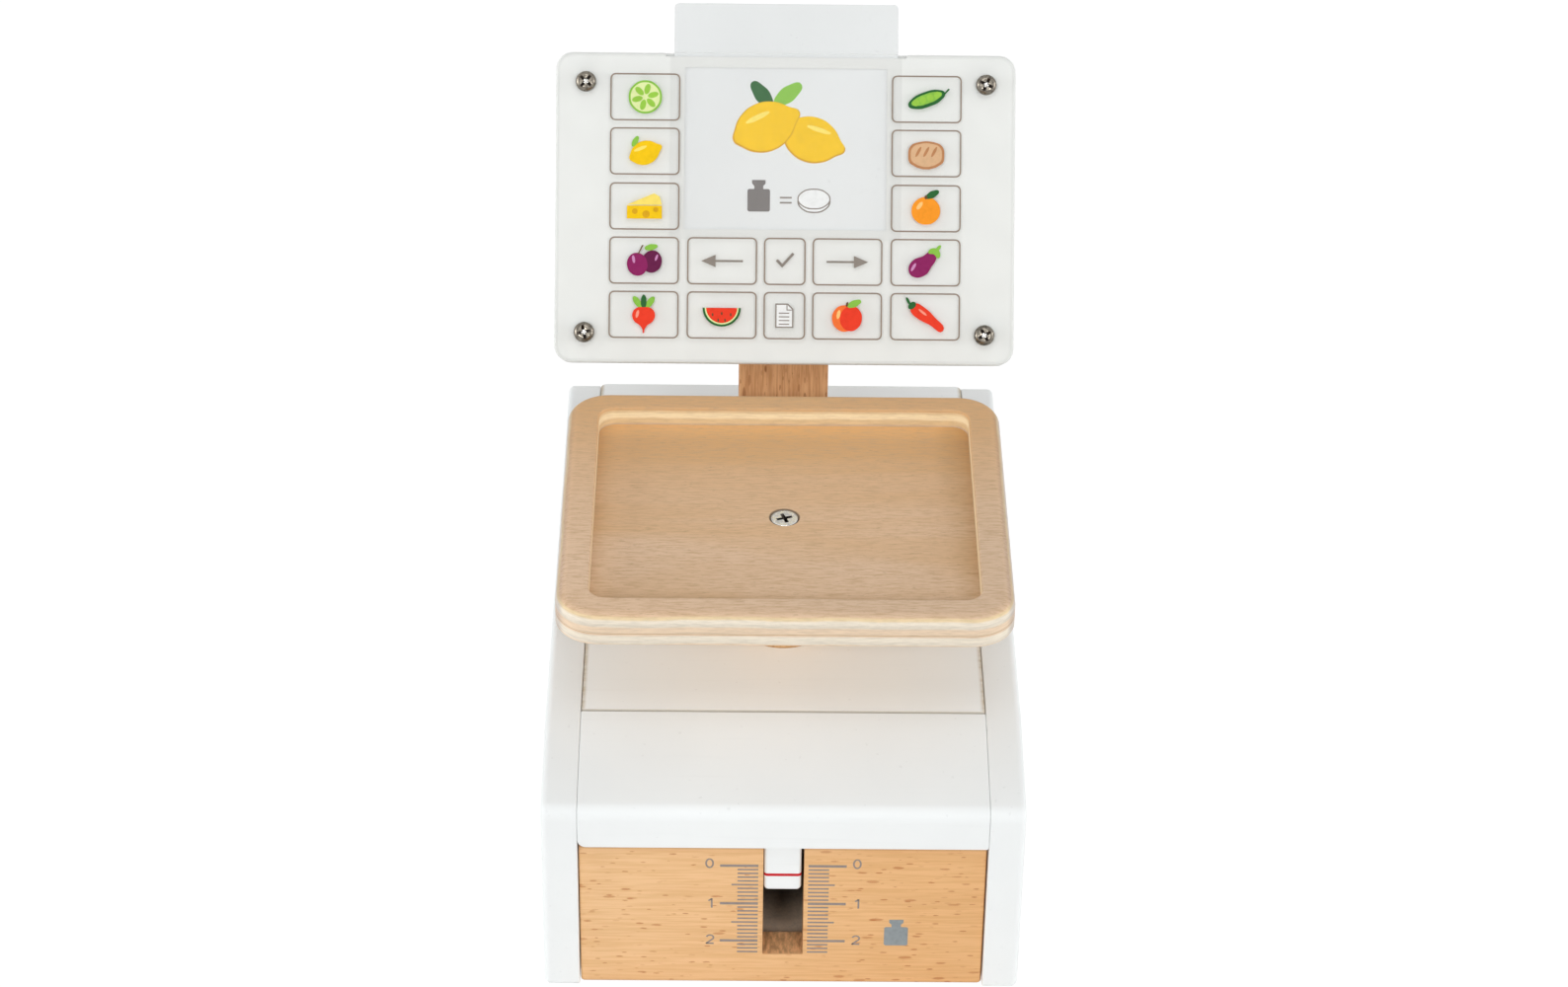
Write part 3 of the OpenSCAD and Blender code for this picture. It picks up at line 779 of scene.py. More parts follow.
def ribbon(points, wide):
    """Outline of a line of even width along these points."""
    left, right = [], []
    for i, (x, y) in enumerate(points):
        before, after = points[max(i - 1, 0)], points[min(i + 1, len(points) - 1)]
        run = Vector((after[0] - before[0], after[1] - before[1])).normalized() * wide / 2
        left.append((x - run.y, y + run.x))
        right.append((x + run.y, y - run.x))
    return left + right[::-1]


def figure_lines(figure, high):
    """The lines of 0, 1 or 2, drawn round the origin."""
    top = high / 2 - 0.25
    if figure == 0:
        return [arc(0, 0, 1.15, top, 90, 450, 36)]
    if figure == 1:
        return [[(0.75, -top - 0.2), (0.75, top + 0.2)], [(0.75, top), (-0.35, top - 0.85)]]
    return [[*arc(0.2, top - 1.05, 1.15, 1.05, 165, -35), (-1.05, -top)], [(-1.2, -top), (1.45, -top)]]


class MakeScaleMarks(Operator):
    """Printed marks and figures beside the slot, and a plain weight sign"""

    bl_idname = "toy_scale.scale_marks"
    bl_label = "Scale marks"

    def execute(self, context):
        size, colours = settings(context, "print")
        finish = ink("scale print", colours.print_grey, 0.55, 0.1)
        front, film = NODE["front_panel"][0].y, size.film
        rows = (
            (0, 1, size.ticks, size.inner, size.short, size.short_line, film),
            (5, 10, 2, size.short - 0.3 * MM, size.half, size.short_line, 0.9 * film),
            (0, 10, 3, size.inner, size.full, size.full_line, 1.2 * film),
        )
        marks, figures = [], []
        for side in (-1, 1):
            shift = max(side, 0) * size.right_shift
            for first, step, count, start, end, line, thick in rows:
                z, half = size.zero - first * size.pitch, line / 2
                left, right = sorted(side * place + shift for place in (start, end))
                mark = block("mark", (left, front - thick, z - half), (right, front + thick, z + half))
                modify(
                    mark, "ARRAY", count=count, use_relative_offset=False, use_constant_offset=True,
                    constant_offset_displace=(0, 0, -step * size.pitch),
                )
                marks.append(mark)
            for figure, lift in enumerate((1.0, 0.1, 0.5)):
                height = size.zero - figure * 10 * size.pitch + lift * MM
                place = turned_up(side * size.figure_at + shift, front, height) @ Matrix.Scale(MM, 4)
                for line in figure_lines(figure, size.figure_high / MM):
                    stroke = cut_out("figure", ribbon(line, size.figure_line / MM), film / MM, False)
                    figures.append(fix_place(stroke, place))
        settle(join("scale_ticks", marks), "case", "beech", finish)
        settle(join("scale_figures", figures), "case", "beech", finish)
        outline = weight_outline(size.sign_at / MM, size.sign_foot / MM, size.sign_wide / MM)
        sign = cut_out("weight_sign", outline, film / MM, False)
        fix_place(sign, turned_up(y=front) @ Matrix.Scale(MM, 4))
        settle(sign, "case", "beech", ink("sign print", colours.sign_grey, 0.55, 0.1))
        return {"FINISHED"}


class MakeFrontCover(Operator):
    """White sloped cover above the front panel"""

    bl_idname = "toy_scale.front_cover"
    bl_label = "Front cover"

    def execute(self, context):
        size, colours = settings(context, "case")
        front, top, _ = case_edges(size)
        low, high = NODE["front_cover"]
        low = Vector((low.x - size.fill, low.y, low.z))
        high = Vector((high.x + size.fill, high.y - size.seam, top))
        cover = block("nose_cover", low, high)
        slope_front(cover, size)
        hollow = block(
            "hollow", (low.x - PAST, front + size.board, low.z - PAST), (high.x + PAST, high.y + PAST, top)
        )
        up = slope_up(size)
        slice_off(hollow, (0, front + size.slope_depth, top - size.board / up.z), up)
        cut_away(cover, hollow)
        half = size.slot_width / 2 + 1 * MM
        pointer = NODE["pointer"][1]
        headroom = 5.6 * MM
        cut_block(
            cover,
            (-half, NODE["front_panel"][0].y, low.z - PAST),
            (half, pointer.y + 1 * MM, pointer.z + headroom),
        )
        for x, reach in ((low.x, size.cover_left), (high.x, size.cover_right)):
            round_edges(cover, edges("y", x=x, z=low.z), reach, 5)
        finish = white_paint("cover paint", colours.paint, "X")
        complete(cover, size.board_round, "case", "white_paint", finish, "front_cover")
        return {"FINISHED"}


class MakeTopPlate(Operator):
    """White top with the column's hole and the post's seat"""

    bl_idname = "toy_scale.top_plate"
    bl_label = "Top plate"

    def execute(self, context):
        size, colours = settings(context, "case")
        low, high = NODE["top_plate"]
        fill = Vector((size.fill / 2, 0, 0))
        low, high = low - fill, high + fill
        plate = block("top_board", low, high)
        round_edges(plate, edges("z", y=high.y), size.corner_round, 5)
        column_low, column_high = NODE["weighing_column"]
        middle = (column_low + column_high) / 2
        gap, seat = 0.5 * MM, 0.05 * MM
        radius = (column_high.x - column_low.x) / 2 + gap
        cut_rod(plate, above(middle, low.z - PAST), radius, size.board + 2 * PAST, 96)
        post_low, post_high = NODE["display_post"]
        cut_block(
            plate,
            (post_low.x - seat, post_low.y - seat, post_low.z),
            (post_high.x + seat, post_high.y + seat, high.z + PAST),
        )
        # Painted light: the top plate's paint is lighter than the rest of the case's paint, for light that
        # reaches under the tray.
        white = shade(colours.paint, 1.075)
        # The top plate's paint also gets painted shade beside its open seams.
        finish = white_paint("top paint", white, "X", joint=(high.x, low.y, colours.joint))
        complete(plate, size.board_round, "case", "white_paint", finish, "top_plate")
        return {"FINISHED"}


class MakeBackPanel(Operator):
    """White back panel"""

    bl_idname = "toy_scale.back_panel"
    bl_label = "Back panel"

    def execute(self, context):
        size, colours = settings(context, "case")
        low, high = NODE["back_panel"]
        panel = block("back_board", low, high)
        round_edges(panel, edges("y", z=low.z), size.corner_round, 5)
        finish = white_paint("back paint", colours.paint, "X")
        complete(panel, size.board_round, "case", "white_paint", finish, "back_panel")
        return {"FINISHED"}


class MakeTray(Operator):
    """Plywood tray: a frame glued on a base sheet"""

    bl_idname = "toy_scale.tray"
    bl_label = "Tray"

    def execute(self, context):
        size, colours = settings(context, "tray")
        low, high = NODE["tray_frame"]
        inset = Vector((size.rim, size.rim, -PAST))
        recess = low + inset, high - inset
        self.make_rim(size, colours, low, high, recess)
        self.make_floor(size, colours, recess)
        return {"FINISHED"}

    def make_rim(self, size, colours, low, high, recess):
        rim = block("tray_rim", low, high)
        round_edges(rim, edges("z"), size.corner, 14)
        hole = block("recess", *recess)
        round_edges(hole, edges("z"), size.pocket_corner, 10)
        cut_away(rim, hole)
        upper = edges(z=high.z)

        def inside(point):
            return all(recess[0][i] - NEAR / 2 < point[i] < recess[1][i] + NEAR / 2 for i in range(2))

        round_edges(rim, lambda a, b: upper(a, b) and not inside(a) and not inside(b), size.top_round, 7)
        round_edges(rim, lambda a, b: upper(a, b) and inside(a) and inside(b), size.lip_round)
        smooth(rim)
        # The recess wall gets lighter layers than the rim's edge: painted light on the lit wall, with a
        # painted shadow line at its foot.
        painted_light_wall_layers = [
            (0.9, 0.4, shade(colours.ply_yellow, 1.04)),
            (1.9, 0.5, shade(colours.wall, 1.04)),
            (4.2, 0.6, shade(colours.ply_yellow, 1.02)),
            (6.3, 0.5, shade(colours.ply_brown, 0.85)),
        ]
        wall = plywood("recess wall plywood", colours, high.z, painted_light_wall_layers, 4.0).material
        coat(rim, self.rim_plywood(colours, low, high), wall)
        for face in rim.data.polygons:
            face.material_index = int(inside(face.center) and face.center.z < high.z - 0.1 * MM)
        settle(rim, "weighing", "plywood", None, "tray_frame")

    @staticmethod
    def rim_plywood(colours, low, high):
        """Plywood whose top carries painted shade, darker to the right and the front."""
        layers = [
            (1.0, 0.3, colours.ply_yellow),
            (1.9, 0.35, colours.ply_cream),
            (3.1, 0.3, shade(colours.ply_cream, 0.9)),
            (4.4, 0.4, colours.ply_brown),
            (6.5, 0.25, shade(colours.ply_brown, 0.93)),
        ]
        ply = plywood("rim plywood", colours, high.z, layers, 2.0, 0.3)
        x, y, z = ply.axes()
        # Painted shade: the rim's top darkens towards the right and the front.
        share = ply.times(ply.band(x, low.x, high.x, 0.3, 1.2), ply.band(y, low.y, high.y, 1.0, 0.2))
        share = ply.times(share, ply.band(z, high.z - 1.2 * MM, high.z - 0.4 * MM))
        worn = ply.blend(1.0, ply.tone, (0.89, 0.91, 0.93), "MULTIPLY")
        ply.set("Base Color", ply.blend(share, ply.tone, worn))
        return ply.material

    def make_floor(self, size, colours, recess):
        low, high = NODE["tray_base"]
        base = block("tray_floor", low, high)
        round_edges(base, edges("z"), size.corner, 14)
        round_edges(base, edges(z=low.z), size.under_round, 6)
        middle = (low + high) / 2
        sink = 3.2 * MM
        slant = (size.sink_radius - size.screw_hole) / sink
        cut_rod(base, above(middle, low.z - PAST), size.screw_hole, high.z - low.z + 2 * PAST, 48)
        wide = size.sink_radius + slant * PAST
        cut_rod(base, above(middle, high.z - sink), size.screw_hole, sink + PAST, 96, wide)
        smooth(base)
        finish = self.floor_plywood(size, colours, high.z, middle, recess)
        settle(base, "weighing", "plywood", finish, "tray_base")

    @staticmethod
    def floor_plywood(size, colours, top, middle, recess):
        """Plywood with painted shade near the rim, painted light at the back and a painted shadow in the gap
        round the screw.
        """
        layers = [
            (0.25, 0.12, shade(colours.ply_brown, 0.95)),
            (0.8, 0.35, colours.ply_cream),
            (2.6, 0.5, shade(colours.ply_cream, 0.92)),
            (3.9, 0.4, colours.ply_brown),
        ]
        low, high = recess
        plain = (1.0, 1.0, 1.0)
        ply = plywood("floor plywood", colours, top, layers, 7.0)
        x, y, z = ply.axes()
        # Painted shade on the floor near the rim at the sides and front, and painted light near the back.
        near_side = ply.larger(
            ply.band(x, high.x - 14 * MM, high.x - 2 * MM, 0.0, 0.8),
            ply.band(x, low.x + 9 * MM, low.x + 2 * MM, 0.0, 0.25),
        )
        near_front = ply.plus(
            ply.band(y, low.y + 12 * MM, low.y, 0.0, 0.75),
            ply.band(y, low.y + 50 * MM, low.y + 8 * MM, 0.0, 0.35),
        )
        near_back = ply.band(y, high.y - 12 * MM, high.y)
        on_face = ply.band(z, top - 0.2 * MM, top - 0.1 * MM)
        painted_rim_shade = ply.blend(ply.times(ply.larger(near_side, near_front), on_face), plain, (0.74, 0.72, 0.66))
        bright = ply.blend(ply.times(near_back, on_face), plain, (1.16, 1.16, 1.1))
        tone = ply.blend(1.0, ply.blend(1.0, ply.tone, painted_rim_shade, "MULTIPLY"), bright, "MULTIPLY")
        # Painted shadow: a dark ring in the gap between the countersink and the screw's head.
        aside = ply.minus(y, middle.y)
        away = ply.plus(ply.times(x, x), ply.times(aside, aside))
        inner, outer = size.sink_radius - 0.25 * MM, size.sink_radius + 0.1 * MM
        gap = ply.band(away, inner**2, outer**2, 0.85, 0.0)
        ply.set("Base Color", ply.blend(gap, tone, shade(colours.ply_dark, 0.12)))
        return ply.material


def cross_recess(piece, top, reach, wide, deep, turn):
    """Sinks a tapered cross into a screw head whose top is at this point."""
    for quarter in (0, 90):
        blade = block("blade", (-reach, -wide / 2, -deep), (reach, wide / 2, 0.05 * MM))
        with editing(blade, "FACE"):
            pick(blade, "faces", lambda face: face.normal.z < -0.9)
            bpy.ops.transform.resize(value=(0.35, 0.6, 1.0))
        place = Matrix.Translation(top) @ Matrix.Rotation(math.radians(turn + quarter), 4, "Z")
        cut_away(piece, fix_place(blade, place))


def screw_finish(piece, top, reach, deep, plating, recess, floor):
    """Plating on the head, painted shade (a darker metal) inside the cross and a painted glint (a lighter
    metal) on the cross's floor.
    """
    coat(piece, plating, recess, floor)
    for face in piece.data.polygons:
        away = face.center - Vector(top)
        within = -1.1 * deep < away.z < -0.12 * MM and away.xy.length < 1.05 * reach
        face.material_index = int(within) + int(within and away.z < -0.8 * deep)


class MakeTrayScrew(Operator):
    """Countersunk screw in the middle of the tray"""

    bl_idname = "toy_scale.tray_screw"
    bl_label = "Tray screw"

    def execute(self, context):
        size, colours = settings(context, "tray")
        low, high = NODE["tray_screw"]
        middle = (low + high) / 2
        shank, cone, brim = 2.0 * MM, 2.2 * MM, 0.35 * MM
        screw = rod("middle_screw", above(middle, low.z), shank, high.z - low.z - cone)
        with editing(screw, "FACE"):
            pick(screw, "faces", lambda face: face.normal.z > 0.9)
            extrude(cone - brim)
            grow = size.head_radius / shank
            bpy.ops.transform.resize(value=(grow, grow, 1.0))
            extrude(brim)
        round_edges(screw, edges(z=high.z), 0.3 * MM, 3)
        top, reach, wide, deep = above(middle, high.z), 2.8 * MM, 1.3 * MM, 1.8 * MM
        cross_recess(screw, top, reach, wide, deep, 20)
        soften(screw, 0.1 * MM, 2, 50)
        plating = metal("tray screw nickel", colours.nickel, 0.24, 1.1)
        # Painted shade: the cross and its floor are a darker metal.
        recess = metal("tray screw cross", colours.recess, 0.4)
        screw_finish(screw, top, reach, deep, plating, recess, recess)
        smooth(screw)
        settle(screw, "weighing", "screw_steel", None, "tray_screw")
        return {"FINISHED"}


class MakeColumn(Operator):
    """Round beech column that carries the tray"""

    bl_idname = "toy_scale.column"
    bl_label = "Column"

    def execute(self, context):
        size, colours = settings(context, "tray")
        low, high = NODE["weighing_column"]
        middle = (low + high) / 2
        column = rod("column", above(middle, low.z), (high.x - low.x) / 2, high.z - low.z, 96)
        cut_rod(column, above(middle, low.z - PAST), size.bore, size.bore_depth + PAST)
        pilot_radius, pilot_depth = 2.05 * MM, 14 * MM
        cut_rod(column, above(middle, high.z - pilot_depth), pilot_radius, pilot_depth + PAST, 32)
        wood = beech("column beech", colours.beech, colours.beech_dark, colours.fleck, "Z", 0.35, 3.0)
        complete(column, 0.6 * MM, "weighing", "beech", wood.material, "weighing_column")
        return {"FINISHED"}


class MakeSpring(Operator):
    """Steel spring between the base board and the column's bore"""

    bl_idname = "toy_scale.spring"
    bl_label = "Spring"

    def execute(self, context):
        size, colours = settings(context, "tray")
        low, high = NODE["weighing_spring"]
        middle = (low + high) / 2
        reach = (high.x - low.x) / 2 - size.wire
        deselect()
        bpy.ops.mesh.primitive_circle_add(
            vertices=10, radius=size.wire, location=(reach, 0, 0), rotation=(math.pi / 2, 0, 0)
        )
        spring = fix_place(rename("tray_spring"))
        rise = (high.z - low.z - 2 * size.wire) / size.turns
        modify(spring, "SCREW", screw_offset=rise, iterations=size.turns, steps=24, render_steps=24)
        with editing(spring):
            bpy.ops.mesh.select_non_manifold()
            bpy.ops.mesh.fill_holes(sides=0)
            bpy.ops.mesh.select_all(action="SELECT")
            bpy.ops.mesh.normals_make_consistent(inside=False)
        fix_place(spring, Matrix.Translation(above(middle, low.z + size.wire)))
        smooth(spring, 50)
        coat(spring, metal("spring steel", colours.steel, 0.3))
        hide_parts("weighing_spring")
        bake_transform(spring)
        return {"FINISHED"}


class MakePointer(Operator):
    """White pointer with its red line"""

    bl_idname = "toy_scale.pointer"
    bl_label = "Pointer"

    def execute(self, context):
        size, colours = settings(context, "print")
        low, high = NODE["pointer"]
        drop, corner, edge, line_depth = 0.3 * MM, 1.6 * MM, 1.2 * MM, 2.8 * MM
        low, film = above(low, low.z - drop), size.film
        pointer = block("pointer_block", low, high)
        round_edges(pointer, edges("y", z=low.z), corner, 8)
        front, top = edges(y=low.y), edges(z=high.z)
        round_edges(pointer, lambda a, b: front(a, b) and not top(a, b), edge, 6)
        finish = white_paint("pointer paint", colours.paint, "X", 0.4)
        complete(pointer, 0.4 * MM, "weighing", "white_paint", finish, "pointer")
        line = block(
            "pointer_line",
            (low.x - film, low.y - film, size.line_at - size.line / 2),
            (high.x + film, low.y + line_depth, size.line_at + size.line / 2),
        )
        round_edges(line, edges("z", y=low.y - film), edge + film, 6)
        smooth(line)
        settle(line, "weighing", "white_paint", ink("line red", colours.line_red, 0.5, 0.08))
        return {"FINISHED"}


class MakePost(Operator):
    """Beech post cut to the display's lean"""

    bl_idname = "toy_scale.post"
    bl_label = "Post"

    def execute(self, context):
        size, colours = settings(context, "display")
        post = block("post", *NODE["display_post"])
        back = display_frame(size) @ Vector((0, size.plate + size.board, 0))
        slice_off(post, back, Vector((0, -math.cos(size.lean), math.sin(size.lean))))
        fleck = shade(colours.fleck, 0.5)
        wood = beech("post beech", colours.post, colours.post_dark, fleck, "Z", 0.6, 5.0)
        complete(post, 0.9 * MM, "case", "beech", wood.material, "display_post")
        return {"FINISHED"}


PRINT = 0.02 * MM  # half the thickness of the white print
BOARD_GAP = 0.05 * MM  # room behind the clear plate

# Places of the keys and films of ink, in millimetres on the display's face.
KEY_ROWS = (94.1, 74.9, 55.4, 36.2, 17.0)
KEY_SIDE = 49.85
KEY_INNER = 22.2
KEY_FILM = 0.025
FIRST_FILM = 0.02
NEXT_FILM = 0.004


def display_frame(size):
    """The display's own axes: X to the right, Y into it and Z up along its face."""
    low, _ = NODE["display_plate"]
    origin = Vector((0, low.y, low.z + size.plate * math.sin(size.lean)))
    return Matrix.Translation(origin) @ Matrix.Rotation(-size.lean, 4, "X")


def on_display(size, depth=0.0):
    """Where a flat drawing in millimetres lies in the display, at this depth behind its face."""
    return display_frame(size) @ turned_up(y=depth) @ Matrix.Scale(MM, 4)


def display_sheet(name, size, near, far, edge=0.0):
    """A sheet of the display's outline between two depths, still in the display's own axes."""
    half = size.wide / 2 - edge
    sheet = block(name, (-half, near, edge), (half, far, size.high - edge))
    round_edges(sheet, edges("y"), size.corner - edge, 8)
    return sheet


def screw_places(size):
    half = size.wide / 2 - size.screw_in
    return [(x, z) for x in (-half, half) for z in (size.screw_in, size.high - size.screw_in)]


class MakeDisplayBoard(Operator):
    """White backing board with the card's pocket"""

    bl_idname = "toy_scale.display_board"
    bl_label = "Display board"

    def execute(self, context):
        size, colours = settings(context, "display")
        near, pocket_depth = size.plate, 1.6 * MM
        board = display_sheet("display_back", size, near, near + size.board)
        half, pocket_low = size.card_half + size.card_play, size.card_low - 0.05 * MM
        cut_block(board, (-half, near - PAST, pocket_low), (half, near + pocket_depth, size.high + PAST))
        soften(board, 0.8 * MM)
        fix_place(board, display_frame(size))
        smooth(board)
        finish = white_paint("display paint", shade(colours.board_white, 0.93), "X", 0.5)
        settle(board, "case", "white_board", finish, "display_board")
        return {"FINISHED"}


class MakeDisplayPlate(Operator):
    """Clear plate over the card, with a white print behind it that leaves a window"""

    bl_idname = "toy_scale.display_plate"
    bl_label = "Display plate"

    def execute(self, context):
        size, colours = settings(context, "display")
        behind = size.plate - BOARD_GAP
        hole_radius, hole_reach = 1.6 * MM, 5 * MM
        plate = display_sheet("display_clear", size, 0.0, behind)
        for x, z in screw_places(size):
            hole = rod("hole", (0, 0, -hole_reach), hole_radius, 2 * hole_reach, 32)
            cut_away(plate, fix_place(hole, turned_up(x=x, z=z)))
        soften(plate, 0.5 * MM)
        fix_place(plate, display_frame(size))
        smooth(plate)
        facing = display_frame(size).to_3x3() @ Vector((0, -1, 0))
        coat(plate, clear_plastic("clear plate", 0.025, 0.06), clear_plastic("sawn plate edge", 0.2, 0.3))
        for face in plate.data.polygons:
            face.material_index = int(abs(face.normal.dot(facing)) < 0.95)
        settle(plate, "case", "clear_plate", None, "display_plate")

        near, far = behind + 0.2 * PRINT, behind + 2.2 * PRINT
        white = display_sheet("display_white", size, near, far, size.print_in)
        half = size.window_half
        cut_block(white, (-half, 0, size.window_low), (half, 2 * size.plate, size.window_high))
        fix_place(white, display_frame(size))
        smooth(white)
        settle(white, "case", "white_board", self.white_print(size, colours.board_white))
        return {"FINISHED"}

    @staticmethod
    def white_print(size, colour):
        """Thin white print with painted shade where the card's pocket lies behind it."""
        film = Finish("display white print", Specular_IOR_Level=0.35)
        origin = Matrix.Rotation(size.lean, 4, "X") @ display_frame(size).translation
        x, _, z = film.axes(film.spread(1, 1, 1, tuple(-origin), (size.lean, 0, 0)))
        pocket, low, blur = size.card_half + size.card_play / 2, size.card_low, 0.4 * MM
        # Painted shade: the print darkens where the card's pocket lies behind it.
        aside = film.maths("ABSOLUTE", x)
        over = film.times(
            film.band(aside, pocket - blur, pocket + blur, 1.0, 0.0),
            film.band(z, low - blur, low + blur),
        )
        cover = film.speckle(90, detail=4)
        tone = film.blend(film.band(cover, 0.35, 0.7), colour, shade(colour, 0.975))
        tone = film.blend(over, tone, shade(colour, 0.9))
        return film.look(tone, (cover, 0.36, 0.46), (cover, 0.03, 0.1 * MM))


def key_frame(x, y, wide, tall, corner, line):
    """A rounded rectangle drawn as a line, in millimetres."""
    deselect()
    bpy.ops.mesh.primitive_plane_add(size=1, location=(x, y, 0))
    piece = rename("key")
    piece.scale = (wide, tall, 1)
    fix_place(piece)
    with editing(piece, "VERT"):
        bpy.ops.mesh.select_all(action="SELECT")
        bpy.ops.mesh.bevel(offset=corner, segments=5, profile=0.5, affect="VERTICES")
        bpy.ops.mesh.select_mode(type="FACE")
        bpy.ops.mesh.select_all(action="SELECT")
        bpy.ops.mesh.inset(thickness=line)
        bpy.ops.mesh.delete(type="FACE")
        bpy.ops.mesh.select_all(action="SELECT")
        extrude(KEY_FILM)
        bpy.ops.mesh.select_all(action="SELECT")
        bpy.ops.mesh.normals_make_consistent(inside=False)
    return piece


class MakeKeyFrames(Operator):
    """Printed outlines of the keys"""

    bl_idname = "toy_scale.key_frames"
    bl_label = "Key outlines"

    def execute(self, context):
        size, colours = settings(context, "display")
        wide, small, tall = size.key_wide / MM, size.key_small / MM, size.key_high / MM
        corner, line = size.key_corner / MM, size.key_line / MM
        keys = [(side * KEY_SIDE, row, wide) for row in KEY_ROWS for side in (-1, 1)]
        for row in KEY_ROWS[3:]:
            keys += [(-KEY_INNER, row, wide), (0.0, row, small), (KEY_INNER, row, wide)]
        lines = [key_frame(x, y, key_wide, tall, corner, line) for x, y, key_wide in keys]
        frames = fix_place(join("key_lines", lines), on_display(size))
        settle(frames, "case", "white_board", ink("key line print", colours.key_line, 0.5, 0.06))
        return {"FINISHED"}


INKS = {
    "leaf": (136, 192, 72),
    "dark_leaf": (40, 98, 48),
    "pale_green": (222, 234, 168),
    "lime": (150, 200, 72),
    "yellow": (243, 198, 8),
    "mustard": (214, 162, 20),
    "pale_yellow": (250, 226, 110),
    "orange": (246, 152, 36),
    "pale_orange": (252, 200, 124),
    "peach": (244, 116, 52),
    "red": (234, 60, 34),
    "pale_red": (248, 156, 134),
    "plum": (138, 30, 92),
    "plum_dark": (98, 22, 68),
    "lilac": (204, 140, 188),
    "crust": (186, 130, 88),
    "crumb": (216, 176, 136),
    "stalk": (104, 72, 44),
    "grey": (140, 132, 124),
    "weight_grey": (122, 118, 116),
    "paper": (238, 240, 240),
}

# Outlines of the key pictures, in millimetres round the middle of a key.
LEMON_HALF = [(6.6, 0.0), (5.2, 1.6), (3.2, 3.4), (0.0, 4.3), (-3.2, 3.4), (-5.0, 1.7), (-6.0, 0.0)]
LEMON = LEMON_HALF + [(u, -v) for u, v in reversed(LEMON_HALF[1:-1])]
LEAF = [(0, 0), (1.6, 1.1), (3.4, 1.1), (5.2, 0.0), (3.4, -1.1), (1.6, -1.1)]
RADISH_HALF = [(0.0, 2.6), (2.4, 2.4), (4.0, 0.4), (3.4, -2.2), (1.2, -4.0), (0.35, -5.4)]
RADISH = RADISH_HALF + [(0.0, -6.6)] + [(-u, v) for u, v in reversed(RADISH_HALF[1:])]
LOAF_HALF = [(2.8, 4.0), (5.6, 2.6), (6.4, -0.6), (5.4, -3.8)]
LOAF = [(-u, v) for u, v in reversed(LOAF_HALF)] + LOAF_HALF
AUBERGINE = [
    (-4.4, -5.0), (-6.0, -2.4), (-4.4, 0.8), (-0.8, 2.4), (2.0, 4.2), (3.9, 3.2), (3.8, 1.2), (2.2, -1.4),
    (0.0, -4.4),
]
CHILLI = [
    (-5.2, 3.2), (-3.4, 4.8), (-0.6, 3.6), (3.2, 0.2), (6.4, -5.0), (1.6, -2.8), (-2.6, -0.6), (-4.8, 1.4)
]
ARROW = [(7.4, 0.0), (2.3, 2.2), (2.3, 0.36), (-7.4, 0.36), (-7.4, -0.36), (2.3, -0.36), (2.3, -2.2)]
TICK = [(-3.2, 0.2), (-2.5, 0.9), (-0.9, -0.8), (2.7, 3.2), (3.4, 2.6), (-0.9, -2.2)]
PAGE = [(-3.2, -4.3), (3.2, -4.3), (3.2, 2.4), (1.3, 4.3), (-3.2, 4.3)]
PAGE_INSIDE = [(-2.75, -3.85), (2.75, -3.85), (2.75, 2.2), (1.1, 3.85), (-2.75, 3.85)]
PAGE_FOLD = [(1.1, 4.1), (1.1, 2.2), (3.0, 2.2), (2.6, 1.85), (0.75, 1.85), (0.75, 4.1)]


def melon_slice(radius):
    return [(u, 2.6 + v) for u, v in arc(0, 0, radius, 0.98 * radius, 180, 360, 16)]


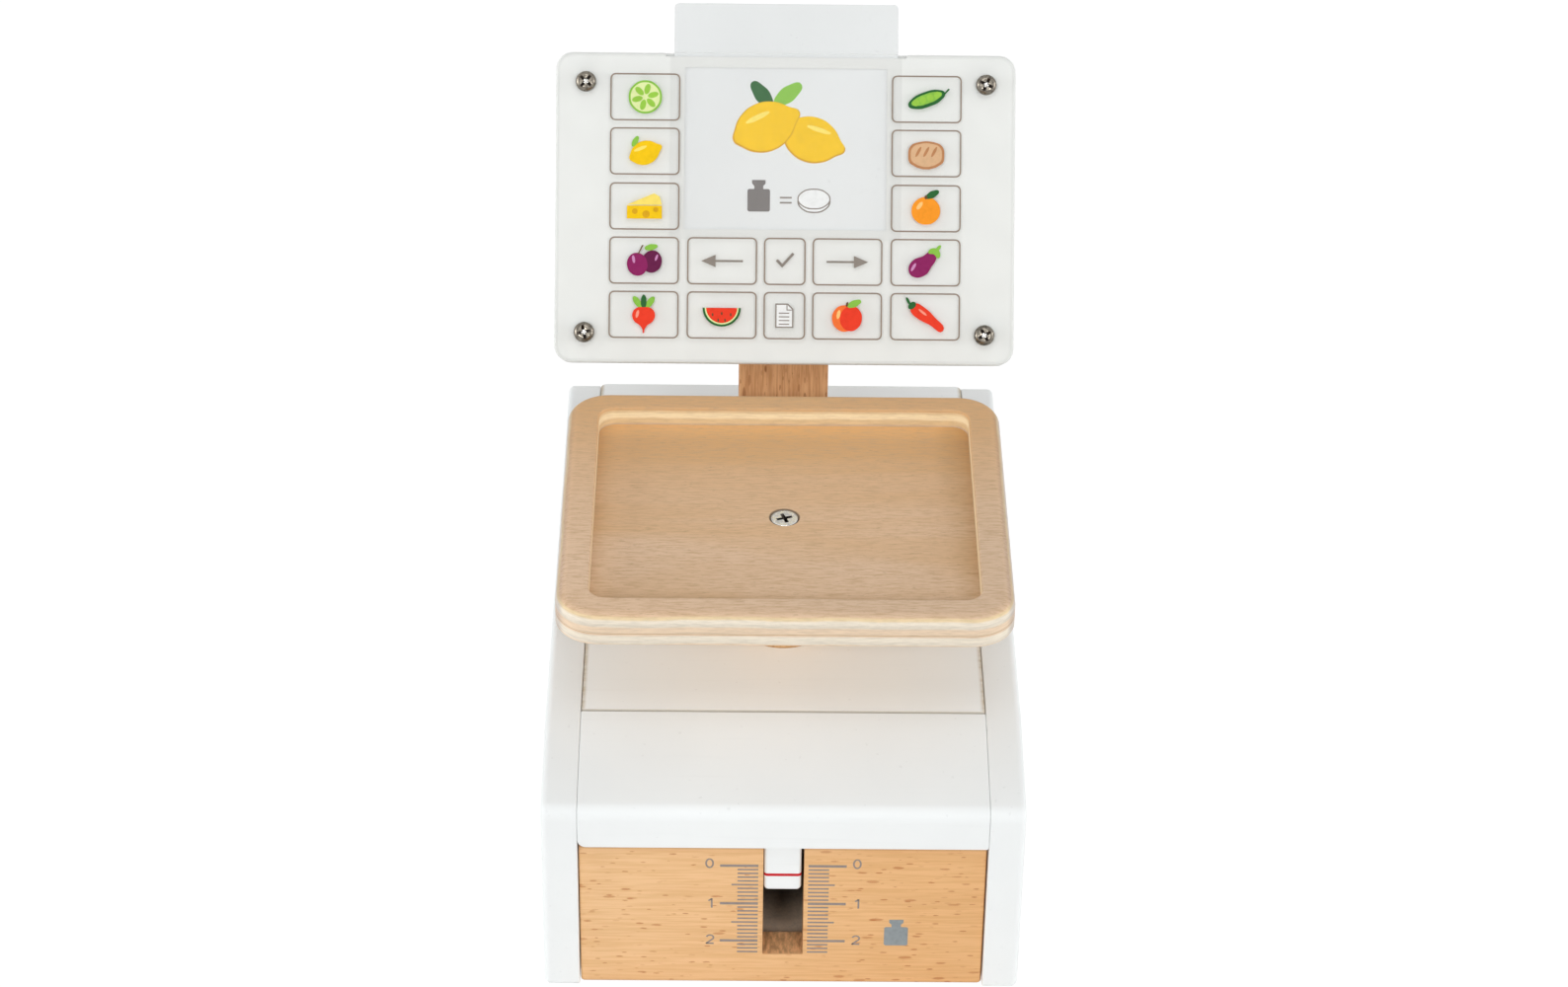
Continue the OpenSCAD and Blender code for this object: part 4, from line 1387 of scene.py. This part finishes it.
# Each picture is a list of printed shapes, from the lowest up. A shape has an ink and an outline, whose sides
# are bent unless a third word says straight.
PICTURES = {
    "lime": [
        ("leaf", oval(0, 0, 5.9)),
        ("pale_green", oval(0, 0, 5.2)),
        *[("lime", placed(oval(2.9, 0, 1.9, 1.0), turn=turn)) for turn in range(15, 375, 60)],
    ],
    "lemon": [
        ("yellow", placed(LEMON, 0, -0.6, 0.98, 22)),
        ("pale_yellow", oval(-1.6, 0.9, 2.4, 0.6, 22)),
        ("leaf", placed(LEAF, -4.4, 1.6, 0.8, 62)),
    ],
    "cheese": [
        ("yellow", bar(0, -2.1, 12.4, 4.6), "straight"),
        ("pale_yellow", [(-6.2, 0.5), (6.2, 0.5), (5.4, 3.4), (3.4, 4.6)], "straight"),
        ("mustard", oval(-3.4, -1.8, 1.0)),
        ("mustard", oval(0.6, -2.8, 1.3)),
        ("mustard", oval(4.0, -1.2, 0.9)),
    ],
    "plums": [
        ("plum_dark", oval(2.8, -0.4, 3.5, 4.0, -12)),
        ("plum", oval(-2.4, -1.4, 3.6, 4.1, 12)),
        ("lilac", oval(-3.7, 0.4, 0.5, 1.4, 10)),
        ("lilac", oval(4.4, 1.0, 0.4, 1.2, -20)),
        ("stalk", [(-2.3, 2.2), (-1.9, 2.2), (-0.2, 5.4), (-0.8, 5.4)], "straight"),
        ("leaf", placed(LEAF, 0.2, 4.2, 0.9, 12)),
    ],
    "radish": [
        ("leaf", oval(-2.2, 4.4, 1.1, 2.5, 36)),
        ("leaf", oval(2.2, 4.3, 1.1, 2.5, -36)),
        ("dark_leaf", oval(0, 4.6, 1.0, 2.5)),
        ("red", RADISH),
        ("pale_red", oval(-2.2, 0.2, 0.5, 1.4, -14)),
    ],
    "peas": [
        ("dark_leaf", oval(0, 0, 6.9, 2.7, 20)),
        ("leaf", oval(0, 0.2, 5.7, 1.7, 20)),
        *[("lime", oval(2.4 * along, 0.9 * along + 0.2, 1.2)) for along in (-1.6, -0.55, 0.5, 1.55)],
        ("dark_leaf", [(6.0, 2.0), (6.6, 1.9), (8.2, 3.6), (7.6, 3.9)], "straight"),
    ],
    "loaf": [
        ("crust", LOAF),
        ("crumb", [(0.86 * u, 0.84 * v) for u, v in LOAF]),
        *[("crust", oval(u, 0.6, 0.5, 2.0, -28)) for u in (-2.8, 0.0, 2.8)],
    ],
    "orange": [
        ("orange", oval(0, -0.8, 5.1, 4.9)),
        ("pale_orange", oval(-2.2, 1.0, 0.7, 1.6, -36)),
        ("dark_leaf", placed(LEAF, 0, 3.8, 1.0, 28)),
        ("stalk", oval(0, 4.0, 0.5, 0.7)),
    ],
    "aubergine": [
        ("plum", AUBERGINE),
        ("lilac", oval(-4.2, -1.6, 0.5, 1.6, -30)),
        ("leaf", [(1.0, 3.6), (2.6, 5.2), (5.0, 4.0), (4.6, 1.6), (3.0, 3.0)]),
        ("leaf", oval(4.6, 5.2, 0.6, 1.3, -38)),
    ],
    "chilli": [
        ("red", CHILLI),
        ("pale_red", oval(-0.8, 1.6, 1.8, 0.4, -38)),
        ("dark_leaf", oval(-4.6, 4.0, 1.6, 1.1, 42)),
        ("dark_leaf", oval(-6.0, 5.6, 0.5, 1.5, 28)),
    ],
    "arrow_back": [("grey", [(-u, v) for u, v in ARROW], "straight")],
    "arrow_on": [("grey", ARROW, "straight")],
    "tick": [("grey", TICK, "straight")],
    "melon": [
        ("dark_leaf", melon_slice(6.8), "straight"),
        ("pale_green", melon_slice(6.0), "straight"),
        ("red", melon_slice(5.5), "straight"),
        *[
            ("stalk", oval(u, v, 0.3, 0.6))
            for u, v in ((-3.2, 0.2), (-1.2, -1.8), (1.2, -1.8), (3.2, 0.2), (0.0, 0.6))
        ],
    ],
    "page": [
        ("grey", PAGE, "straight"),
        ("paper", PAGE_INSIDE, "straight"),
        ("grey", PAGE_FOLD, "straight"),
        *[("grey", bar(-0.1, v, 3.7, 0.38), "straight") for v in (0.9, -0.4, -1.7, -3.0)],
    ],
    "peach": [
        ("peach", oval(-0.9, -0.8, 4.4, 4.7, 8)),
        ("red", oval(1.4, -0.8, 3.9, 4.5, -8)),
        ("pale_orange", oval(-3.0, 0.6, 0.6, 1.6, -12)),
        ("leaf", placed(LEAF, 0.2, 3.4, 1.0, 24)),
        ("stalk", oval(0, 4.2, 0.4, 0.9, -14)),
    ],
}
LEFT_KEYS = ("lime", "lemon", "cheese", "plums", "radish")
RIGHT_KEYS = ("peas", "loaf", "orange", "aubergine", "chilli")

# The card's picture, in millimetres along the display's face from the middle of its lower edge.
CARD_PICTURE = [
    ("leaf", placed(LEAF, -4.0, 92.0, 2.3, 38)),
    ("dark_leaf", placed(LEAF, -5.0, 91.0, 2.2, 128)),
    ("mustard", placed(LEMON, 9.2, 79.6, 1.9, -18)),
    ("yellow", placed(LEMON, 9.4, 79.9, 1.82, -18)),
    ("mustard", placed(LEMON, -7.4, 84.0, 2.05, 24)),
    ("yellow", placed(LEMON, -7.2, 84.3, 1.97, 24)),
    ("pale_yellow", oval(-10.0, 87.4, 4.6, 0.9, 26)),
    ("pale_yellow", oval(11.8, 83.2, 4.4, 0.8, -18)),
    ("weight_grey", weight_outline(-9.4, 54.0, 8.0), "straight"),
    ("grey", bar(0.2, 59.0, 4.2, 0.6), "straight"),
    ("grey", bar(0.2, 57.2, 4.2, 0.6), "straight"),
    ("grey", oval(10.2, 57.7, 5.9, 4.1)),
    ("paper", oval(10.2, 57.7, 5.4, 3.6)),
    ("grey", oval(10.2, 58.6, 5.9, 3.7)),
    ("paper", oval(10.2, 58.6, 5.45, 3.25)),
]


def print_picture(name, shapes, place):
    """Prints flat shapes on each other, each a little thicker than the one under it."""
    parts = []
    for layer, (colour, outline, *straight) in enumerate(shapes):
        part = cut_out(name, outline, FIRST_FILM + NEXT_FILM * layer, not straight)
        title = "print " + colour.replace("_", " ")
        coat(part, bpy.data.materials.get(title) or ink(title, srgb(*INKS[colour]), 0.5, 0.07))
        parts.append(part)
    return fix_place(join(name, parts), place)


class MakeKeyPictures(Operator):
    """Plain printed pictures and signs on the keys"""

    bl_idname = "toy_scale.key_pictures"
    bl_label = "Key pictures"

    def execute(self, context):
        size, _ = settings(context, "display")
        middle, low = KEY_ROWS[3:]
        places = {name: (-KEY_SIDE, row) for name, row in zip(LEFT_KEYS, KEY_ROWS)}
        places |= {name: (KEY_SIDE, row) for name, row in zip(RIGHT_KEYS, KEY_ROWS)}
        places |= {"arrow_back": (-KEY_INNER, middle), "arrow_on": (KEY_INNER, middle), "tick": (0, middle)}
        places |= {"melon": (-KEY_INNER, low), "page": (0, low), "peach": (KEY_INNER, low)}
        for name, (x, y) in places.items():
            place = on_display(size) @ Matrix.Translation((x, y, 0))
            piece = print_picture("key_" + name, PICTURES[name], place)
            settle(piece, "case", "white_board")
        return {"FINISHED"}


class MakeDisplayScrews(Operator):
    """Four round-headed screws at the display's corners"""

    bl_idname = "toy_scale.display_screws"
    bl_label = "Display screws"

    def execute(self, context):
        size, colours = settings(context, "display")
        plating = metal("display nickel", colours.dark_nickel, 0.26, 1.9, 1000)
        # Painted shade: a darker metal inside each cross.
        recess = metal("display screw cross", colours.recess, 0.35)
        # Painted glint: a lighter metal on the floor of each cross.
        floor = metal("display screw glint", shade(colours.nickel, 0.7), 0.3, 1.2, 1000)
        shank, shank_long = 1.4 * MM, 6.9 * MM
        high, reach, wide, deep = size.screw_high, 2.5 * MM, 1.1 * MM, 1.5 * MM
        screws = []
        for turn, (x, z) in zip((12, 48, 30, 66), screw_places(size)):
            head = rod("head", (0, 0, 0), size.screw_head, high, 48)
            round_edges(head, edges(z=high), high * 0.82, 7)
            with editing(head, "FACE"):
                pick(head, "faces", lambda face: face.normal.z < -0.9)
                bpy.ops.mesh.inset(thickness=size.screw_head - shank)
                extrude(-shank_long)
            cross_recess(head, (0, 0, high), reach, wide, deep, turn)
            soften(head, 0.08 * MM, 2, 50)
            screw_finish(head, (0, 0, high), reach, deep, plating, recess, floor)
            screws.append(fix_place(head, display_frame(size) @ turned_up(x=x, z=z)))
        piece = join("display_fixings", screws)
        smooth(piece)
        settle(piece, "case", "dark_nickel", None, "display_screws")
        return {"FINISHED"}


class MakeCard(Operator):
    """Picture card that lifts out at the top of the display"""

    bl_idname = "toy_scale.card"
    bl_label = "Picture card"

    def execute(self, context):
        size, colours = settings(context, "display")
        air, corner = 0.3 * MM, 1.5 * MM
        half, near = size.card_half, size.plate + air
        card = block("card", (-half, near, size.card_low), (half, near + size.card_thick, size.card_top))
        round_edges(card, edges("y", z=size.card_top), corner, 5)
        soften(card, 0.15 * MM, 2)
        fix_place(card, display_frame(size))
        smooth(card)
        finish = white_paint("card stock", colours.card_white, "Z", 0.42)
        settle(card, "card", "card_stock", finish, "display_card")
        picture = print_picture("card_picture", CARD_PICTURE, on_display(size, near))
        settle(picture, "card", "card_stock")
        return {"FINISHED"}


class FinishInnerParts(Operator):
    """Wood and steel finishes for the parts inside the case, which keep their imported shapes"""

    bl_idname = "toy_scale.inner_parts"
    bl_label = "Inner parts"

    def execute(self, context):
        colours = context.scene.toy_scale_colours
        wood, dark = colours.inner_wood, shade(colours.inner_wood, 0.85)
        rods = beech("inner beech", wood, dark, colours.fleck, "Z", 0.3, 8.0).material
        bars = beech("bar beech", wood, dark, colours.fleck, "Y", 0.3, 9.0).material
        top, behind = NODE["base_board"][1].z, NODE["front_panel"][1].y + 7 * MM
        paint = shade(colours.paint, 0.95)
        # The base board's raw top carries painted shade deeper inside the case.
        under = painted_fibre_board("base board", paint, colours.fibre_board, top, behind)
        steel = metal("inner steel", colours.steel, 0.3)
        for names, finish in (
            (("spring_guide", "stop_collar"), rods),
            (("base_cleat_left", "base_cleat_right", "case_dowels", "pointer_arm", "pointer_dowel"), bars),
            (("base_board",), under),
            (("base_screws", "post_foot_screws", "post_head_screws"), steel),
        ):
            for name in names:
                coat(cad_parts[name], finish)
        return {"FINISHED"}


class MakeStage(Operator):
    """Pale floor, soft light and the camera"""

    bl_idname = "toy_scale.stage"
    bl_label = "Stage"

    def execute(self, context):
        deselect()
        bpy.ops.mesh.primitive_circle_add(vertices=96, radius=8, fill_type="NGON", location=(0, 0, -0.2 * MM))
        floor = fix_place(rename("floor"))
        coat(floor, self.floor_finish())
        self.light_world(context.scene)
        for name, spot, size, power in (
            ("left light", (-0.65, -2.0, 1.3), 0.55, 9.7),
            ("right light", (0.65, -2.0, 1.3), 0.55, 8.9),
            ("upper light", (0.0, -1.0, 2.2), 1.1, 7.4),
            ("rear light", (0.0, 1.9, 0.8), 1.1, 3.5),
            ("left low light", (-1.8, -0.15, 0.4), 1.1, 14.4),
            ("right low light", (1.8, -0.15, 0.4), 1.1, 12.4),
        ):
            deselect()
            bpy.ops.object.light_add(type="AREA", location=spot)
            lamp = rename(name)
            lamp.data.size = size
            lamp.data.energy = power
            aim = Vector((0, 0, 0.1)) - Vector(spot)
            lamp.rotation_euler = aim.to_track_quat("-Z", "Y").to_euler()
        self.add_camera(context.scene)
        return {"FINISHED"}

    @staticmethod
    def seen_rays(nodes, links):
        """One for rays that show the surroundings: from the camera, or by way of gloss or clear plastic."""
        path = nodes.new("ShaderNodeLightPath")
        total = path.outputs["Is Camera Ray"]
        for name in ("Is Glossy Ray", "Is Transmission Ray"):
            add = nodes.new("ShaderNodeMath")
            add.operation = "MAXIMUM"
            links.new(total, add.inputs[0])
            links.new(path.outputs[name], add.inputs[1])
            total = add.outputs[0]
        return total

    def floor_finish(self):
        """A pale floor that glows for the rays that see it, so that it fades into the backdrop."""
        pale = Finish("pale floor", Specular_IOR_Level=0.1)
        clouds = pale.speckle(6, detail=3)
        pale.set("Base Color", pale.blend(pale.band(clouds, 0.3, 0.7), (0.93, 0.93, 0.93), (0.9, 0.9, 0.9)))
        pale.set("Roughness", pale.band(clouds, 0.3, 0.7, 0.85, 0.95))
        nodes, links = pale.tree.nodes, pale.tree.links
        glow = pale.add("Emission", {"Color": (1.0, 1.0, 1.0), "Strength": 1.1})
        share = pale.times(self.seen_rays(nodes, links), 0.86)
        mix = pale.add("MixShader", {0: share, 1: pale.shader.outputs[0], 2: glow.outputs[0]})
        links.new(mix.outputs[0], nodes["Material Output"].inputs["Surface"])
        return pale.material

    def light_world(self, scene):
        """A white surround that is seen brighter than it lights."""
        world = bpy.data.worlds.new("studio")
        scene.world = world
        world.use_nodes = True
        nodes, links = world.node_tree.nodes, world.node_tree.links
        back = nodes["Background"]
        back.inputs["Color"].default_value = (1.0, 1.0, 1.0, 1.0)
        seen = nodes.new("ShaderNodeMapRange")
        seen.inputs["To Min"].default_value = 0.435
        seen.inputs["To Max"].default_value = 1.0
        links.new(self.seen_rays(nodes, links), seen.inputs["Value"])
        links.new(seen.outputs["Result"], back.inputs["Strength"])
        scene.view_settings.view_transform = "Standard"

    @staticmethod
    def add_camera(scene):
        place = (-0.01535, -1.1612, 0.9045)
        tilt, yaw, roll = 0.5953, 0.0133, -0.0155
        ahead = Vector((math.sin(yaw) * math.cos(tilt), math.cos(yaw) * math.cos(tilt), -math.sin(tilt)))
        right = Vector((math.cos(yaw), -math.sin(yaw), 0.0))
        down = ahead.cross(right)
        side = math.cos(roll) * right + math.sin(roll) * down
        lower = -math.sin(roll) * right + math.cos(roll) * down
        deselect()
        bpy.ops.object.camera_add()
        camera = rename("camera")
        turn = Matrix((side, -lower, -ahead)).transposed().to_4x4()
        camera.matrix_world = Matrix.Translation(place) @ turn
        camera.data.lens = 92.67
        camera.data.sensor_width = 36.0
        camera.data.clip_start = 0.01
        camera.data.clip_end = 50.0
        scene.camera = camera


OPERATORS = (
    MakeSidePanels, MakeFrontPanel, MakeScaleMarks, MakeFrontCover, MakeTopPlate, MakeBackPanel, MakeTray,
    MakeTrayScrew, MakeColumn, MakeSpring, MakePointer, MakePost, MakeDisplayBoard, MakeDisplayPlate,
    MakeKeyFrames, MakeKeyPictures, MakeDisplayScrews, MakeCard, FinishInnerParts, MakeStage,
)
GROUPS = {
    "toy_scale_case": CaseSizes,
    "toy_scale_tray": TraySizes,
    "toy_scale_print": PrintSizes,
    "toy_scale_display": DisplaySizes,
    "toy_scale_colours": ScaleColours,
}


class ToyScalePanel(Panel):
    """Lists the steps that make the toy scale"""

    bl_idname = "VIEW3D_PT_toy_scale"
    bl_label = "Toy scale"
    bl_space_type = "VIEW_3D"
    bl_region_type = "UI"
    bl_category = "Toy scale"

    def draw(self, context):
        for operator in OPERATORS:
            self.layout.operator(operator.bl_idname)
        for group in GROUPS:
            box = self.layout.box()
            values = getattr(context.scene, group)
            for name in values.bl_rna.properties.keys():
                if name not in ("rna_type", "name"):
                    box.prop(values, name)


def register():
    for group in (*GROUPS.values(), *OPERATORS, ToyScalePanel):
        bpy.utils.register_class(group)
    for name, group in GROUPS.items():
        setattr(bpy.types.Scene, name, PointerProperty(type=group))


def unregister():
    for name in GROUPS:
        delattr(bpy.types.Scene, name)
    for group in reversed((*GROUPS.values(), *OPERATORS, ToyScalePanel)):
        bpy.utils.unregister_class(group)


def main():
    register()
    for operator in OPERATORS:
        group, name = operator.bl_idname.split(".")
        getattr(getattr(bpy.ops, group), name)()


if __name__ == "__main__":
    main()
